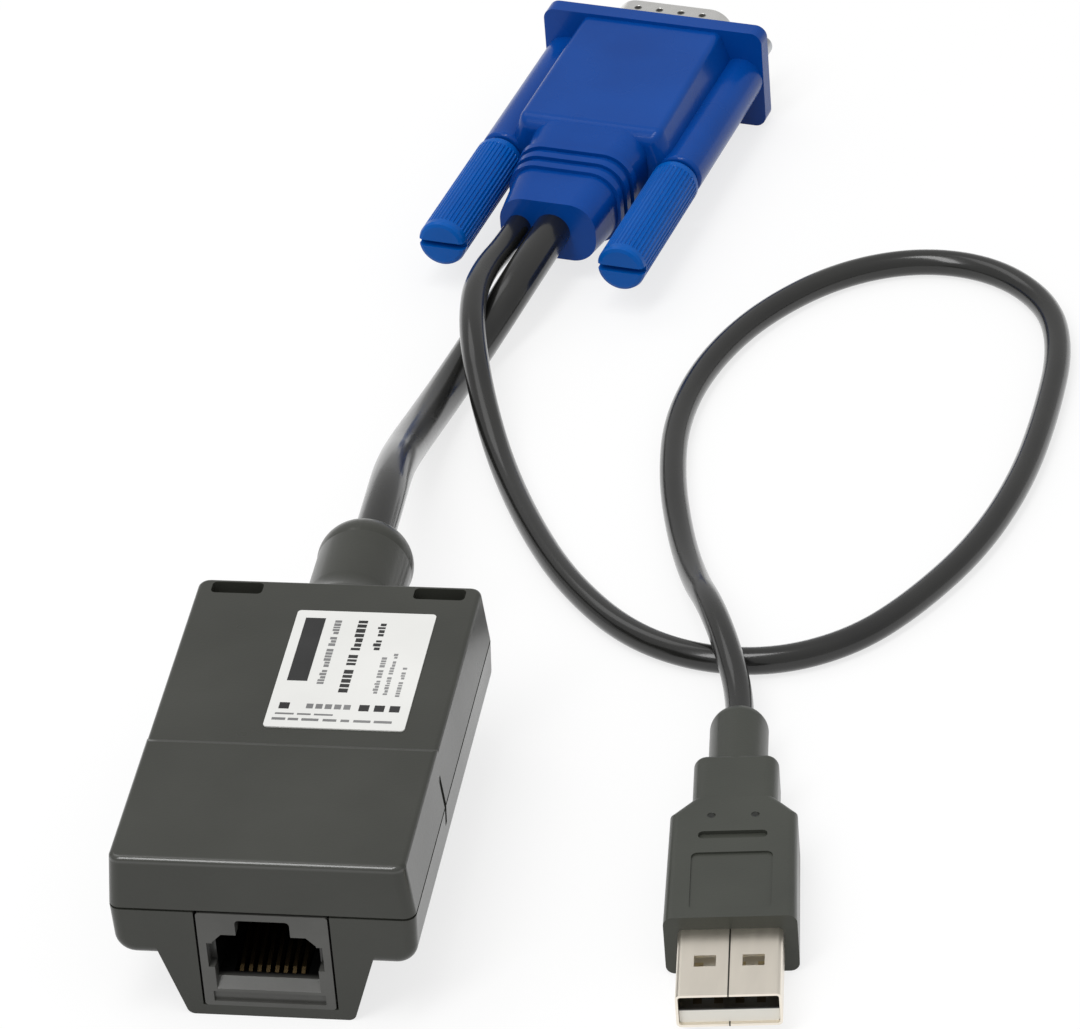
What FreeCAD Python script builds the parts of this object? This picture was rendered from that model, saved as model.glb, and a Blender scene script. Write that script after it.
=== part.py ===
import FreeCAD, Part
import math
import os

os.makedirs("parts", exist_ok=True)

V = FreeCAD.Vector

# ---------------------------------------------------------------------------
# KVM dongle. Millimetres. X runs across the housing, Y from the network
# socket to the neck, Z up from the surface that the dongle lies on.
# The origin is under the middle of the housing with its neck.
# ---------------------------------------------------------------------------

# Housing, outside
housing_length = 55.0
housing_width = 35.4          # at the seam between the shells
side_draft = 0.7              # each side leans in by this towards the top
lower_draft = 0.3             # and by this towards the bottom
wall = 1.6
lower_height = 6.7            # main part of the lower shell, seam to underside
bottom_edge_round = 2.5
top_edge_round = 0.6
corner_round = 1.4
seam_groove_depth = 0.25
seam_groove_width = 0.3
lip_height = 0.9
lip_thickness = 0.7
step_depth = 0.3              # the rear of the top lies this much lower
step_run = 0.8                # length of the slope between the two levels
step_from_front = 22.0
side_slot_width = 0.9         # shallow slot down each side, near the step
side_slot_depth = 0.45
side_slot_above = 4.2         # reach above the seam
side_slot_below = 2.5
side_slot_from_front = 20.7

# Bump under the front that holds the network jack
bump_length = 30.0
bump_top_width = 24.4
bump_bottom_width = 19.2
bump_rear_slope = 3.0
bump_edge_round = 1.0
floor_wall = 1.4

# Neck that holds the cord
neck_length = 17.0
neck_radius = 5.8
neck_base_radius = 6.6
neck_end_radius = 3.9
neck_flare_length = 4.0
neck_dome_length = 4.5

# Fits
slip = 0.1                    # between pieces that slot together
seat = 0.05                   # between pieces that stay put
turn_gap = 0.3                # round what turns
jack_gap = 0.25               # beside the jack, in the housing's mouth

# Network jack
jack_width = 15.2
jack_height = 13.2
jack_depth = 19.0
socket_width = 12.0
socket_floor = 3.5            # from the jack's underside to the socket's floor
socket_height = 6.7
socket_depth = 13.5
latch_width = 6.3
latch_height = 2.1
latch_depth = 11.0
guide_width = 13.4            # notches beside the socket's mouth
guide_low = 2.0
guide_height = 3.4
guide_depth = 1.6
socket_corner = 1.1           # slants at the socket's upper corners
latch_corner = 0.5
lead_in = 1.1                 # slope at the front of the socket's floor
sill_height = 1.4
sill_width = 13.0
sill_low = 0.6
sill_depth = 0.4
insert_thickness = 2.6
contact_count = 8
contact_pitch = 1.02
contact_width = 0.45
contact_thickness = 0.3
contact_rise = 3.0
contact_well = 1.1

# Circuit board and what is on it
board_thickness = 1.6
board_side_gap = 0.8          # to the inside of each side wall
board_rear_gap = 7.0          # to the inside of the rear wall
post_radius = 1.7
post_inset = 2.2              # from the board's edge
upper_height = 7.2            # seam to top, in front of the step
processor_size = 12.0
processor_thickness = 1.4
video_size = 10.0
video_thickness = 1.2
memory_length = 8.6
memory_width = 5.4
memory_thickness = 1.5
chip_gap = 0.7                # between neighbours on the board
crystal_edge_gap = 0.8        # from the board's edge
memory_edge_gap = 4.6
crystal_length = 11.2
crystal_width = 4.6
crystal_height = 3.2
capacitor_radius = 2.0
capacitor_height = 3.2
capacitor_count = 3
header_width = 13.0
header_depth = 4.6
header_height = 3.4
header_wall = 0.7
header_from_rear = 1.0        # rear end of the board to the header
processor_from_header = 3.0
video_from_processor = 2.0
capacitor_gap = 1.2
capacitor_from_post = 0.5
wire_count = 6
wire_radius = 0.4

# Case screws
boss_radius = 2.3
screw_from_side = 4.8
screw_from_rear = 4.1
screw_head_radius = 1.9
screw_head_height = 1.2
screw_radius = 0.9
screw_bite = 3.6              # how far the screw goes into the upper shell
head_recess = 1.6
drive_width = 0.6
drive_length = 2.4

# Latch pockets in the top, near its rear edge
recess_width = 6.2
recess_depth = 1.8
recess_length = 2.2
recess_rear_lip = 0.7
recess_floor = 1.0            # wall under and beside each pocket
recess_from_side = 5.5        # middle of each pocket
recess_corner = 0.6

# Label
label_width = 16.6
label_length = 23.0
label_thickness = 0.15
label_x = 4.3
label_from_step = 3.9
label_corner = 0.5

# Cord anchor, moulded on the cord's end
anchor_radius = 3.1
anchor_flange_radius = 4.4
anchor_flange_length = 1.6

# Cords
vga_cord_diameter = 5.0
usb_cord_diameter = 3.4

# VGA connector, in its own frame: Y out of its mouth, Z up, origin on the floor
# under the middle of the metal flange's rear face
vga_place = V(17.2, 164.3, 0.0)
vga_turn = -11.3
flange_width = 31.4
flange_height = 14.5
flange_thickness = 2.4
flange_round = 1.6
screw_pitch = 25.0
hood_length = 28.5            # mouth to shoulder
hood_top_width = 19.4
hood_waist_width = 24.0
hood_height = 13.5
hood_shoulder_drop = 0.7
hood_edge_round = 1.0
shoulder_round = 2.0
tube_radius = 3.1             # round each thumbscrew's shaft
hood_neck_length = 16.5
hood_neck_start_width = 16.4
hood_neck_start_height = 11.4
hood_neck_end_width = 13.4
hood_neck_end_height = 8.6
hood_neck_round = 3.6
rib_count = 3
rib_pitch = 2.1
rib_width = 1.0
rib_proud = 0.5
first_rib = 5.6               # behind the shoulder
vga_cord_offset = 0.6
usb_cord_offset = -4.1

metal_thickness = 0.8
metal_flange_width = 30.8
metal_flange_height = 12.5
mouth_width = 16.92
mouth_height = 8.36
mouth_slope = 10.0
mouth_round = 2.6
mouth_depth = 5.9
mouth_wall = 0.45
insulator_front = 1.2
insulator_rear = 7.0
premould_length = 8.0
pin_radius = 0.42
pin_pitch = 2.29
pin_row_pitch = 1.98
pins_in_row = 5
pin_tip_back = 0.7            # from the mouth's edge

shank_radius = 1.1
thread_radius = 1.42
thread_start = 0.3            # in front of the metal flange
thread_length = 5.9
thread_tip_round = 0.4
knob_radius = 3.25
knob_length = 22.6
knob_round = 0.6
knob_flutes = 16
flute_radius = 0.35
knob_gap = 0.8                # between knob and shoulder
knob_slot_width = 0.9
knob_slot_depth = 1.2
shank_in_knob = 17.0

# USB plug, in its own frame: Y from the metal shell's mouth to the cord
usb_place = V(51.47, -24.4, 0.0)
usb_turn = 6.1
plug_front_width = 15.3
plug_rear_width = 14.8
plug_thickness = 8.0
plug_body_length = 19.8
plug_edge_round = 1.1
plug_taper_length = 2.8
boot_width = 10.0
boot_thickness = 7.0
boot_length = 9.0
boot_round = 1.6
plug_neck_radius = 3.5
plug_neck_length = 10.8
plug_neck_dome = 2.2
panel_width = 9.4
panel_length = 10.6
panel_front = 1.5
panel_depth = 0.25
groove_width = 8.0
groove_length = 1.4
groove_depth = 0.5
groove_from_front = 14.7
shell_width = 12.0
shell_height = 4.5
shell_wall = 0.3
shell_out = 11.9
shell_in = 8.0
shell_round = 0.6
window_width = 2.5
window_length = 2.0
window_spacing = 5.5
window_from_mouth = 5.2
tongue_thickness = 1.9
tongue_back = 0.5
block_start = 1.0
usb_contact_width = 1.0
usb_contact_pitch = 2.4
usb_contact_count = 4
usb_contact_length = 7.4
usb_contact_thickness = 0.2
usb_contact_back = 0.9

# ---------------------------------------------------------------------------
# Places that follow from the sizes
# ---------------------------------------------------------------------------
front_y = -(housing_length + neck_length) / 2
rear_y = front_y + housing_length
neck_end_y = rear_y + neck_length
board_width = housing_width - 2 * wall - 2 * board_side_gap
screw_x = housing_width / 2 - screw_from_side
recess_x = housing_width / 2 - recess_from_side
jack_bottom = floor_wall
jack_top = jack_bottom + jack_height
board_bottom = jack_top
board_top = board_bottom + board_thickness
seam_z = jack_top + 2 * slip
main_bottom = seam_z - lower_height
top_z = seam_z + upper_height
rear_top_z = top_z - step_depth
step_y = front_y + step_from_front
socket_low_z = jack_bottom + socket_floor
socket_high_z = socket_low_z + socket_height
board_front = front_y + wall + 2 * slip
board_rear = rear_y - wall - board_rear_gap
jack_rear = front_y + jack_depth
screw_y = rear_y - screw_from_rear
side_slot_y = front_y + side_slot_from_front
flange_mid_z = flange_height / 2
hood_end_y = -hood_length - hood_neck_length
plug_neck_end = plug_body_length + plug_taper_length + boot_length + plug_neck_length
plug_mid_z = plug_thickness / 2


# ---------------------------------------------------------------------------
# Helpers
# ---------------------------------------------------------------------------
def box(x0, x1, y0, y1, z0, z1):
    return Part.makeBox(x1 - x0, y1 - y0, z1 - z0, V(x0, y0, z0))


def wide_box(width, y0, y1, z0, z1, x=0.0):
    return box(x - width / 2, x + width / 2, y0, y1, z0, z1)


def rod(radius, start, end):
    along = end - start
    return Part.makeCylinder(radius, along.Length, start, along)


def prism_y(points, y0, y1):
    """Outline of (x, z) points, drawn out along Y."""
    corners = [V(x, y0, z) for x, z in points]
    face = Part.Face(Part.makePolygon(corners + corners[:1]))
    return face.extrude(V(0, y1 - y0, 0))


def prism_x(points, x0, x1):
    """Outline of (y, z) points, drawn out along X."""
    corners = [V(x0, y, z) for y, z in points]
    face = Part.Face(Part.makePolygon(corners + corners[:1]))
    return face.extrude(V(x1 - x0, 0, 0))


def round_edges(shape, radius, wanted):
    """Rounds the edges whose middle point and direction pass the test."""
    chosen = []
    for edge in shape.Edges:
        middle = edge.valueAt((edge.FirstParameter + edge.LastParameter) / 2)
        ends = edge.Vertexes
        along = (ends[-1].Point - ends[0].Point) if len(ends) > 1 else V(0, 0, 0)
        if along.Length > 1e-6:
            along.normalize()
        if wanted(middle, along):
            chosen.append(edge)
    return shape.makeFillet(radius, chosen)


def spin_y(profile, x, z):
    """Turns a closed (y, radius) profile of edges round the line at (x, z)."""
    face = Part.Face(Part.Wire(profile))
    face.translate(V(x, 0, z))
    return face.revolve(V(x, 0, z), V(0, 1, 0), 360)


def line(a, b):
    return Part.LineSegment(a, b).toShape()


def arc(a, middle, b):
    return Part.Arc(a, middle, b).toShape()


def place(shape, where, turn):
    copy = shape.copy()
    copy.rotate(V(0, 0, 0), V(0, 0, 1), turn)
    copy.translate(where)
    return copy


def to_frame(point, where, turn):
    angle = math.radians(turn)
    return V(where.x + point.x * math.cos(angle) - point.y * math.sin(angle),
             where.y + point.x * math.sin(angle) + point.y * math.cos(angle),
             where.z + point.z)


def strip(points, thickness, x0, x1):
    """A bent strip of metal: (y, z) middle line, given thickness, width from x0 to x1."""
    left, right = [], []
    for i, (y, z) in enumerate(points):
        before = points[max(i - 1, 0)]
        after = points[min(i + 1, len(points) - 1)]
        into = V(y - before[0], z - before[1], 0)
        out = V(after[0] - y, after[1] - z, 0)
        into = out if into.Length < 1e-9 else into
        out = into if out.Length < 1e-9 else out
        normal_in = V(-into.y, into.x, 0).normalize()
        normal_out = V(-out.y, out.x, 0).normalize()
        middle = (normal_in + normal_out).normalize()
        reach = thickness / 2 / middle.dot(normal_in)
        left.append((y + middle.x * reach, z + middle.y * reach))
        right.append((y - middle.x * reach, z - middle.y * reach))
    return prism_x(left + right[::-1], x0, x1)


nodes = {}


def keep(name, shape):
    nodes[name] = shape


# ---------------------------------------------------------------------------
# Housing shells
# ---------------------------------------------------------------------------
def drafted_block(inset, y0, y1, high):
    """Block that stands on the seam and leans in towards its top."""
    half_seam = housing_width / 2 - inset
    half_high = half_seam - side_draft * (high - seam_z) / upper_height
    return prism_y([(-half_seam, seam_z), (half_seam, seam_z), (half_high, high),
                    (-half_high, high)], y0, y1)


def upper_outside():
    """The upper shell's outside: a front block and a slightly lower rear block."""
    side = housing_width / 2 - side_draft - corner_round
    front = drafted_block(0.0, front_y, step_y + step_run, top_z)
    front = round_edges(front, corner_round, lambda p, d: abs(d.z) > 0.9 and p.y < front_y + 0.1)
    front = round_edges(front, top_edge_round,
                        lambda p, d: p.z > top_z - 0.01
                        and (abs(p.x) > side or p.y < front_y + 0.1))
    slope = prism_x([(step_y, top_z), (step_y + step_run, rear_top_z),
                     (step_y + 2 * step_run, rear_top_z), (step_y + 2 * step_run, top_z + wall),
                     (step_y, top_z + wall)], -housing_width, housing_width)
    front = front.cut(slope)
    rear = drafted_block(0.0, step_y - wall, rear_y, rear_top_z)
    rear = round_edges(rear, corner_round, lambda p, d: abs(d.z) > 0.9 and p.y > rear_y - 0.1)
    rear = round_edges(rear, top_edge_round,
                       lambda p, d: p.z > rear_top_z - 0.01
                       and (abs(p.x) > side or p.y > rear_y - 0.1))
    return front.fuse(rear)


def upper_inside():
    """The space inside the upper shell."""
    front = drafted_block(wall, front_y + wall, step_y - wall, top_z - wall)
    rear = drafted_block(wall, front_y + wall, rear_y - wall, rear_top_z - wall)
    return front.fuse(rear)


def lower_block(inset):
    """The lower shell's main part, without the bump."""
    half_seam = housing_width / 2 - inset
    half_low = half_seam - lower_draft
    low = main_bottom + inset
    outline = [(-half_seam, seam_z), (half_seam, seam_z), (half_low, low), (-half_low, low)]
    block = prism_y(outline, front_y + inset, rear_y - inset)
    radius = bottom_edge_round - min(inset, bottom_edge_round - 0.8)
    return round_edges(block, radius, lambda p, d: abs(d.y) > 0.99 and p.z < low + 0.01)


def bump_block(inset):
    """The bump under the front; its rear end slopes."""
    half_top = bump_top_width / 2 - inset
    half_bottom = bump_bottom_width / 2 - inset
    low = floor_wall if inset else 0.0
    high = main_bottom + wall
    spread = (half_top - half_bottom) / (main_bottom - 0.0)
    half_high = half_bottom + spread * (high - low)
    outline = [(-half_bottom, low), (half_bottom, low), (half_high, high), (-half_high, high)]
    end = front_y + bump_length - inset
    block = prism_y(outline, front_y + inset, end)
    slope = prism_x([(end - bump_rear_slope, low), (end + wall, low), (end + wall, high),
                     (end, high)], -housing_width, housing_width)
    block = block.cut(slope)
    if inset:
        return block
    return round_edges(block, bump_edge_round,
                       lambda p, d: p.z < low + 0.01 and p.y > front_y + 0.01)


def neck_solid(shrink=0.0):
    """Bulb that reaches back from the rear wall, with a domed end."""
    y_start = rear_y - wall
    y_flare = rear_y + neck_flare_length
    y_dome = neck_end_y - neck_dome_length
    start = V(0, y_start, 0)
    a = V(0, y_start, neck_base_radius)
    b = V(0, rear_y, neck_base_radius)
    flare_mid = V(0, rear_y + neck_flare_length * 0.35,
                  neck_radius + (neck_base_radius - neck_radius) * 0.3)
    c = V(0, y_flare, neck_radius)
    d = V(0, y_dome, neck_radius)
    drop = neck_radius - neck_end_radius
    dome_mid = V(0, y_dome + neck_dome_length * 0.75, neck_radius - drop * 0.36)
    e = V(0, neck_end_y, neck_end_radius)
    end = V(0, neck_end_y, 0)
    edges = [line(start, a), line(a, b), arc(b, flare_mid, c), line(c, d),
             arc(d, dome_mid, e), line(e, end), line(end, start)]
    return spin_y(edges, 0, seam_z)


def anchor_solid(extra=0.0):
    """Moulded end of the cord, gripped in the neck; extra widens it for its seat."""
    flange_end = rear_y - wall - slip + extra
    flange = rod(anchor_flange_radius + extra,
                 V(0, flange_end - anchor_flange_length - extra, seam_z),
                 V(0, flange_end, seam_z))
    sleeve = rod(anchor_radius + extra, V(0, flange_end - anchor_flange_length, seam_z),
                 V(0, neck_end_y, seam_z))
    return flange.fuse(sleeve).removeSplitter()


def above_seam():
    return wide_box(4 * housing_width, front_y - wall, neck_end_y + wall, seam_z, top_z + wall)


def below_seam():
    return wide_box(4 * housing_width, front_y - wall, neck_end_y + wall, -wall, seam_z)


def lip_ring(outer_inset, inner_inset, height):
    """Ring that stands on the seam, between two insets from the outside."""
    y_out0, y_out1 = front_y + outer_inset, rear_y - outer_inset
    y_in0, y_in1 = front_y + inner_inset, rear_y - inner_inset
    ring = wide_box(housing_width - 2 * outer_inset, y_out0, y_out1, seam_z, seam_z + height)
    hole = wide_box(housing_width - 2 * inner_inset, y_in0, y_in1, seam_z, seam_z + height)
    return ring.cut(hole)


def lip_gaps(extra):
    """Where the lip is left out: over the jack and at the neck."""
    over_jack = wide_box(jack_width + 2 * extra, front_y - wall, front_y + 2 * wall,
                         seam_z, seam_z + lip_height + wall)
    at_neck = wide_box(2 * (neck_base_radius + extra), rear_y - 2 * wall, rear_y + wall,
                       seam_z, seam_z + lip_height + wall)
    return over_jack.fuse(at_neck)


def seam_groove():
    """Fine groove round the outside along the seam, left out at the neck."""
    z0 = seam_z - seam_groove_width / 2
    z1 = seam_z + seam_groove_width / 2
    outer = wide_box(housing_width + 2 * wall, front_y - wall, rear_y + wall, z0, z1)
    inner = wide_box(housing_width - 2 * seam_groove_depth, front_y + seam_groove_depth,
                     rear_y - seam_groove_depth, z0, z1)
    inner = round_edges(inner, corner_round - seam_groove_depth, lambda p, d: abs(d.z) > 0.9)
    at_neck = wide_box(2 * neck_base_radius + wall, rear_y - wall, rear_y + 2 * wall, z0, z1)
    return outer.cut(inner).cut(at_neck)


def side_slots():
    """Shallow upright slot in each side; it crosses the seam."""
    slots = []
    for sx in (-1, 1):
        bottom_x = housing_width / 2 - side_slot_depth
        slot = box(bottom_x, housing_width, side_slot_y, side_slot_y + side_slot_width,
                   seam_z - side_slot_below, seam_z + side_slot_above)
        slots.append(slot if sx > 0 else slot.mirror(V(0, 0, 0), V(1, 0, 0)))
    return Part.makeCompound(slots)


def recess_block(sx, extra, high):
    """A latch pocket, or with extra the block that walls it in."""
    rear = rear_y - recess_rear_lip
    block = wide_box(recess_width + 2 * extra, rear - recess_length - extra, rear + extra / 2,
                     rear_top_z - recess_depth - extra, high, sx * recess_x)
    return round_edges(block, recess_corner, lambda p, d: abs(d.z) > 0.9)


def post_places():
    x = board_width / 2 - post_inset
    return [(sx * x, y) for sx in (-1, 1)
            for y in (board_front + post_inset, board_rear - post_inset)]


def make_upper_shell():
    shell = upper_outside()
    shell = shell.fuse(neck_solid().common(above_seam()))
    shell = shell.cut(upper_inside())
    for sx in (-1, 1):
        shell = shell.fuse(recess_block(sx, recess_floor, rear_top_z - wall / 2))
        boss = rod(boss_radius, V(sx * screw_x, screw_y, seam_z + slip),
                   V(sx * screw_x, screw_y, rear_top_z - wall / 2))
        shell = shell.fuse(boss)
        pilot = rod(screw_radius, V(sx * screw_x, screw_y, seam_z),
                    V(sx * screw_x, screw_y, seam_z + screw_bite + 2 * slip))
        shell = shell.cut(pilot)
        shell = shell.cut(recess_block(sx, 0.0, top_z + wall))
    for x, y in post_places():
        high = (top_z if y < step_y else rear_top_z) - wall / 2
        shell = shell.fuse(rod(post_radius, V(x, y, board_top + slip), V(x, y, high)))
    groove = lip_ring(wall - lip_thickness - slip, wall + lip_thickness, lip_height + slip)
    shell = shell.cut(groove.cut(lip_gaps(-slip)))
    shell = shell.cut(seam_groove()).cut(side_slots())
    shell = shell.cut(anchor_solid(slip))
    return shell.removeSplitter()


def make_lower_shell():
    main = round_edges(lower_block(0.0), corner_round,
                       lambda p, d: abs(d.z) > 0.9 and abs(p.x) > housing_width / 2 - 1)
    shell = main.fuse(bump_block(0.0)).removeSplitter()
    shell = shell.fuse(neck_solid().common(below_seam()))
    shell = shell.cut(lower_block(wall))
    shell = shell.cut(bump_block(wall))
    mouth = wide_box(jack_width + 2 * jack_gap, front_y - wall, front_y + 2 * wall,
                     jack_bottom, seam_z + wall)
    shell = shell.cut(mouth)
    lip = lip_ring(wall - lip_thickness, wall, lip_height)
    shell = shell.fuse(lip.cut(lip_gaps(0.0)))
    for x, y in post_places():
        post = rod(post_radius, V(x, y, main_bottom + wall / 2), V(x, y, board_bottom))
        shell = shell.fuse(post)
    for sx in (-1, 1):
        foot = V(sx * screw_x, screw_y, main_bottom)
        boss = rod(boss_radius + slip, foot + V(0, 0, wall / 2), V(foot.x, foot.y, seam_z))
        shell = shell.fuse(boss)
        shell = shell.cut(rod(screw_head_radius + slip, foot - V(0, 0, wall),
                              foot + V(0, 0, head_recess)))
        shell = shell.cut(rod(screw_radius + slip, foot, V(foot.x, foot.y, seam_z + wall)))
    shell = shell.cut(seam_groove()).cut(side_slots())
    shell = shell.cut(anchor_solid(slip))
    return shell.removeSplitter()


def make_case_screws():
    screws = []
    for sx in (-1, 1):
        seat_z = main_bottom + head_recess
        centre = V(sx * screw_x, screw_y, seat_z)
        head = rod(screw_head_radius, centre - V(0, 0, screw_head_height), centre)
        head = round_edges(head, 0.3, lambda p, d: p.z < seat_z - screw_head_height + 0.01)
        stem = rod(screw_radius - seat, centre, V(centre.x, centre.y, seam_z + screw_bite))
        screw = head.fuse(stem)
        low = seat_z - screw_head_height
        for turned in (False, True):
            a, b = (drive_length, drive_width) if turned else (drive_width, drive_length)
            slot = box(centre.x - a / 2, centre.x + a / 2, centre.y - b / 2, centre.y + b / 2,
                       low - wall, low + screw_head_height / 2)
            screw = screw.cut(slot)
        screws.append(screw)
    return Part.makeCompound(screws)


def make_label():
    y0 = step_y + label_from_step
    sheet = wide_box(label_width, y0, y0 + label_length, rear_top_z,
                     rear_top_z + label_thickness, label_x)
    return round_edges(sheet, label_corner, lambda p, d: abs(d.z) > 0.9)


# ---------------------------------------------------------------------------
# Network jack
# ---------------------------------------------------------------------------
def contact_path():
    """(y, z) line of one contact: rises into the socket, runs back, turns up to the board."""
    low = socket_low_z - contact_well / 2
    bend = front_y + 2.6
    return [(bend + 10.0, low + contact_rise), (bend + 0.6, low + 0.5), (bend, low + 0.15),
            (bend + 0.5, low - 0.3), (jack_rear - 0.9, low - 0.3), (jack_rear - 0.45, low + 0.2),
            (jack_rear - 0.45, board_bottom)]


def make_jack_body():
    body = wide_box(jack_width, front_y, jack_rear, jack_bottom, jack_top)
    body = round_edges(body, 0.4, lambda p, d: abs(d.y) > 0.99)
    half = socket_width / 2
    socket = prism_y([(-half, socket_low_z), (half, socket_low_z),
                      (half, socket_high_z - socket_corner), (half - socket_corner, socket_high_z),
                      (socket_corner - half, socket_high_z), (-half, socket_high_z - socket_corner)],
                     front_y - wall, front_y + socket_depth)
    latch = wide_box(latch_width, front_y - wall, front_y + latch_depth,
                     socket_low_z, socket_high_z + latch_height)
    latch = round_edges(latch, latch_corner,
                        lambda p, d: abs(d.y) > 0.99 and p.z > socket_high_z)
    floor_slope = prism_x([(front_y - lead_in, socket_low_z - 2 * lead_in),
                           (front_y + lead_in, socket_low_z), (front_y - lead_in, socket_low_z)],
                          -half, half)
    guide = wide_box(guide_width, front_y - wall, front_y + guide_depth,
                     socket_low_z + guide_low, socket_low_z + guide_low + guide_height)
    sill = wide_box(sill_width, front_y - wall, front_y + sill_depth,
                    jack_bottom + sill_low, jack_bottom + sill_low + sill_height)
    well_width = contact_count * contact_pitch + contact_width
    well = wide_box(well_width, front_y + 2.0, jack_rear + wall,
                    socket_low_z - contact_well, socket_low_z + slip)
    rear_pocket = wide_box(socket_width, jack_rear - insert_thickness - 2 * slip - 1.0,
                           jack_rear + wall, socket_low_z - contact_well, jack_top + wall)
    for hole in (socket, latch, guide, floor_slope, sill, well, rear_pocket):
        body = body.cut(hole)
    return body.removeSplitter()


def make_jack_insert():
    rear = jack_rear - 0.45 - contact_thickness / 2 - slip
    front = rear - insert_thickness
    block = wide_box(socket_width - 2 * seat, front, rear, socket_low_z + slip, jack_top)
    return block


def make_jack_contacts():
    contacts = []
    for i in range(contact_count):
        x = (i - (contact_count - 1) / 2) * contact_pitch
        contacts.append(strip(contact_path(), contact_thickness,
                              x - contact_width / 2, x + contact_width / 2))
    return Part.makeCompound(contacts)


# ---------------------------------------------------------------------------
# Circuit board
# ---------------------------------------------------------------------------
def on_board(length_x, length_y, height, x, y, edge=0.0):
    part = box(x - length_x / 2, x + length_x / 2, y - length_y / 2, y + length_y / 2,
               board_top, board_top + height)
    if edge:
        part = round_edges(part, edge, lambda p, d: abs(d.z) > 0.9)
    return part


def chip(size_x, size_y, height, x, y):
    body = on_board(size_x, size_y, height, x, y)
    mark = rod(0.5, V(x - size_x / 2 + 1.2, y - size_y / 2 + 1.2, board_top + height - 0.15),
               V(x - size_x / 2 + 1.2, y - size_y / 2 + 1.2, board_top + height + 1))
    return body.cut(mark)


def make_board():
    board = wide_box(board_width, board_front, board_rear, board_bottom, board_top)
    return round_edges(board, 1.0, lambda p, d: abs(d.z) > 0.9)


header_rear = board_rear - header_from_rear
header_front = header_rear - header_depth
processor_y = header_front - processor_from_header - processor_size / 2
video_y = processor_y - processor_size / 2 - video_from_processor - video_size / 2
crystal_x = -board_width / 2 + crystal_edge_gap + crystal_width / 2
processor_x = crystal_x + crystal_width / 2 + chip_gap + processor_size / 2
memory_x = -board_width / 2 + memory_edge_gap + memory_width / 2
video_x = memory_x + memory_width / 2 + chip_gap + video_size / 2


def make_header():
    block = wide_box(header_width, header_front, header_rear, board_top, board_top + header_height)
    hollow = wide_box(header_width - 2 * header_wall, header_front + header_wall,
                      header_rear - header_wall, board_top + header_wall * 2,
                      board_top + header_height + 1)
    return block.cut(hollow)


def make_capacitors():
    cans = []
    for i in range(capacitor_count):
        x = board_width / 2 - post_inset - post_radius - capacitor_from_post - capacitor_radius
        y = header_front - capacitor_gap - capacitor_radius - i * (2 * capacitor_radius + capacitor_gap)
        can = rod(capacitor_radius, V(x, y, board_top), V(x, y, board_top + capacitor_height))
        cans.append(round_edges(can, 0.3, lambda p, d: p.z > board_top + capacitor_height - 0.01))
    return Part.makeCompound(cans)


def make_wires():
    wires = []
    anchor_inner = rear_y - wall - slip - anchor_flange_length
    for i in range(wire_count):
        share = i / (wire_count - 1) - 0.5
        start = V(share * 1.5 * anchor_radius, anchor_inner, seam_z + anchor_radius * 0.55)
        end = V(share * (header_width - 4 * header_wall), header_rear,
                board_top + header_height - 2 * wire_radius)
        wires.append(rod(wire_radius, start, end))
    return Part.makeCompound(wires)


# ---------------------------------------------------------------------------
# VGA connector
# ---------------------------------------------------------------------------
def rounded_rectangle(width, height, radius, y, z):
    """Closed wire in an XZ plane."""
    a, b = width / 2, height / 2
    k = radius * (1 - math.sqrt(0.5))
    p = [V(-a + radius, y, z - b), V(a - radius, y, z - b), V(a, y, z - b + radius),
         V(a, y, z + b - radius), V(a - radius, y, z + b), V(-a + radius, y, z + b),
         V(-a, y, z + b - radius), V(-a, y, z - b + radius)]
    m = [V(a - k, y, z - b + k), V(a - k, y, z + b - k), V(-a + k, y, z + b - k),
         V(-a + k, y, z - b + k)]
    edges = [line(p[0], p[1]), arc(p[1], m[0], p[2]), line(p[2], p[3]), arc(p[3], m[1], p[4]),
             line(p[4], p[5]), arc(p[5], m[2], p[6]), line(p[6], p[7]), arc(p[7], m[3], p[0])]
    return Part.Wire(edges)


def neck_section(y, proud=0.0):
    """The hood neck's section at y, which shrinks towards its end."""
    share = (-hood_length - y) / hood_neck_length
    width = hood_neck_start_width + (hood_neck_end_width - hood_neck_start_width) * share
    height = hood_neck_start_height + (hood_neck_end_height - hood_neck_start_height) * share
    return rounded_rectangle(width + 2 * proud, height + 2 * proud, hood_neck_round + proud,
                             y, flange_mid_z)


def mouth_prism(grow, y0, y1):
    """D-shaped block, wide side up."""
    half_height = mouth_height / 2 + grow
    lean = math.tan(math.radians(mouth_slope))
    half_top = mouth_width / 2 + grow * (1 / math.cos(math.radians(mouth_slope)))
    half_low = half_top - 2 * half_height * lean
    z = flange_mid_z
    block = prism_y([(-half_low, z - half_height), (half_low, z - half_height),
                     (half_top, z + half_height), (-half_top, z + half_height)], y0, y1)
    return round_edges(block, mouth_round + grow, lambda p, d: abs(d.y) > 0.99)


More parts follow.
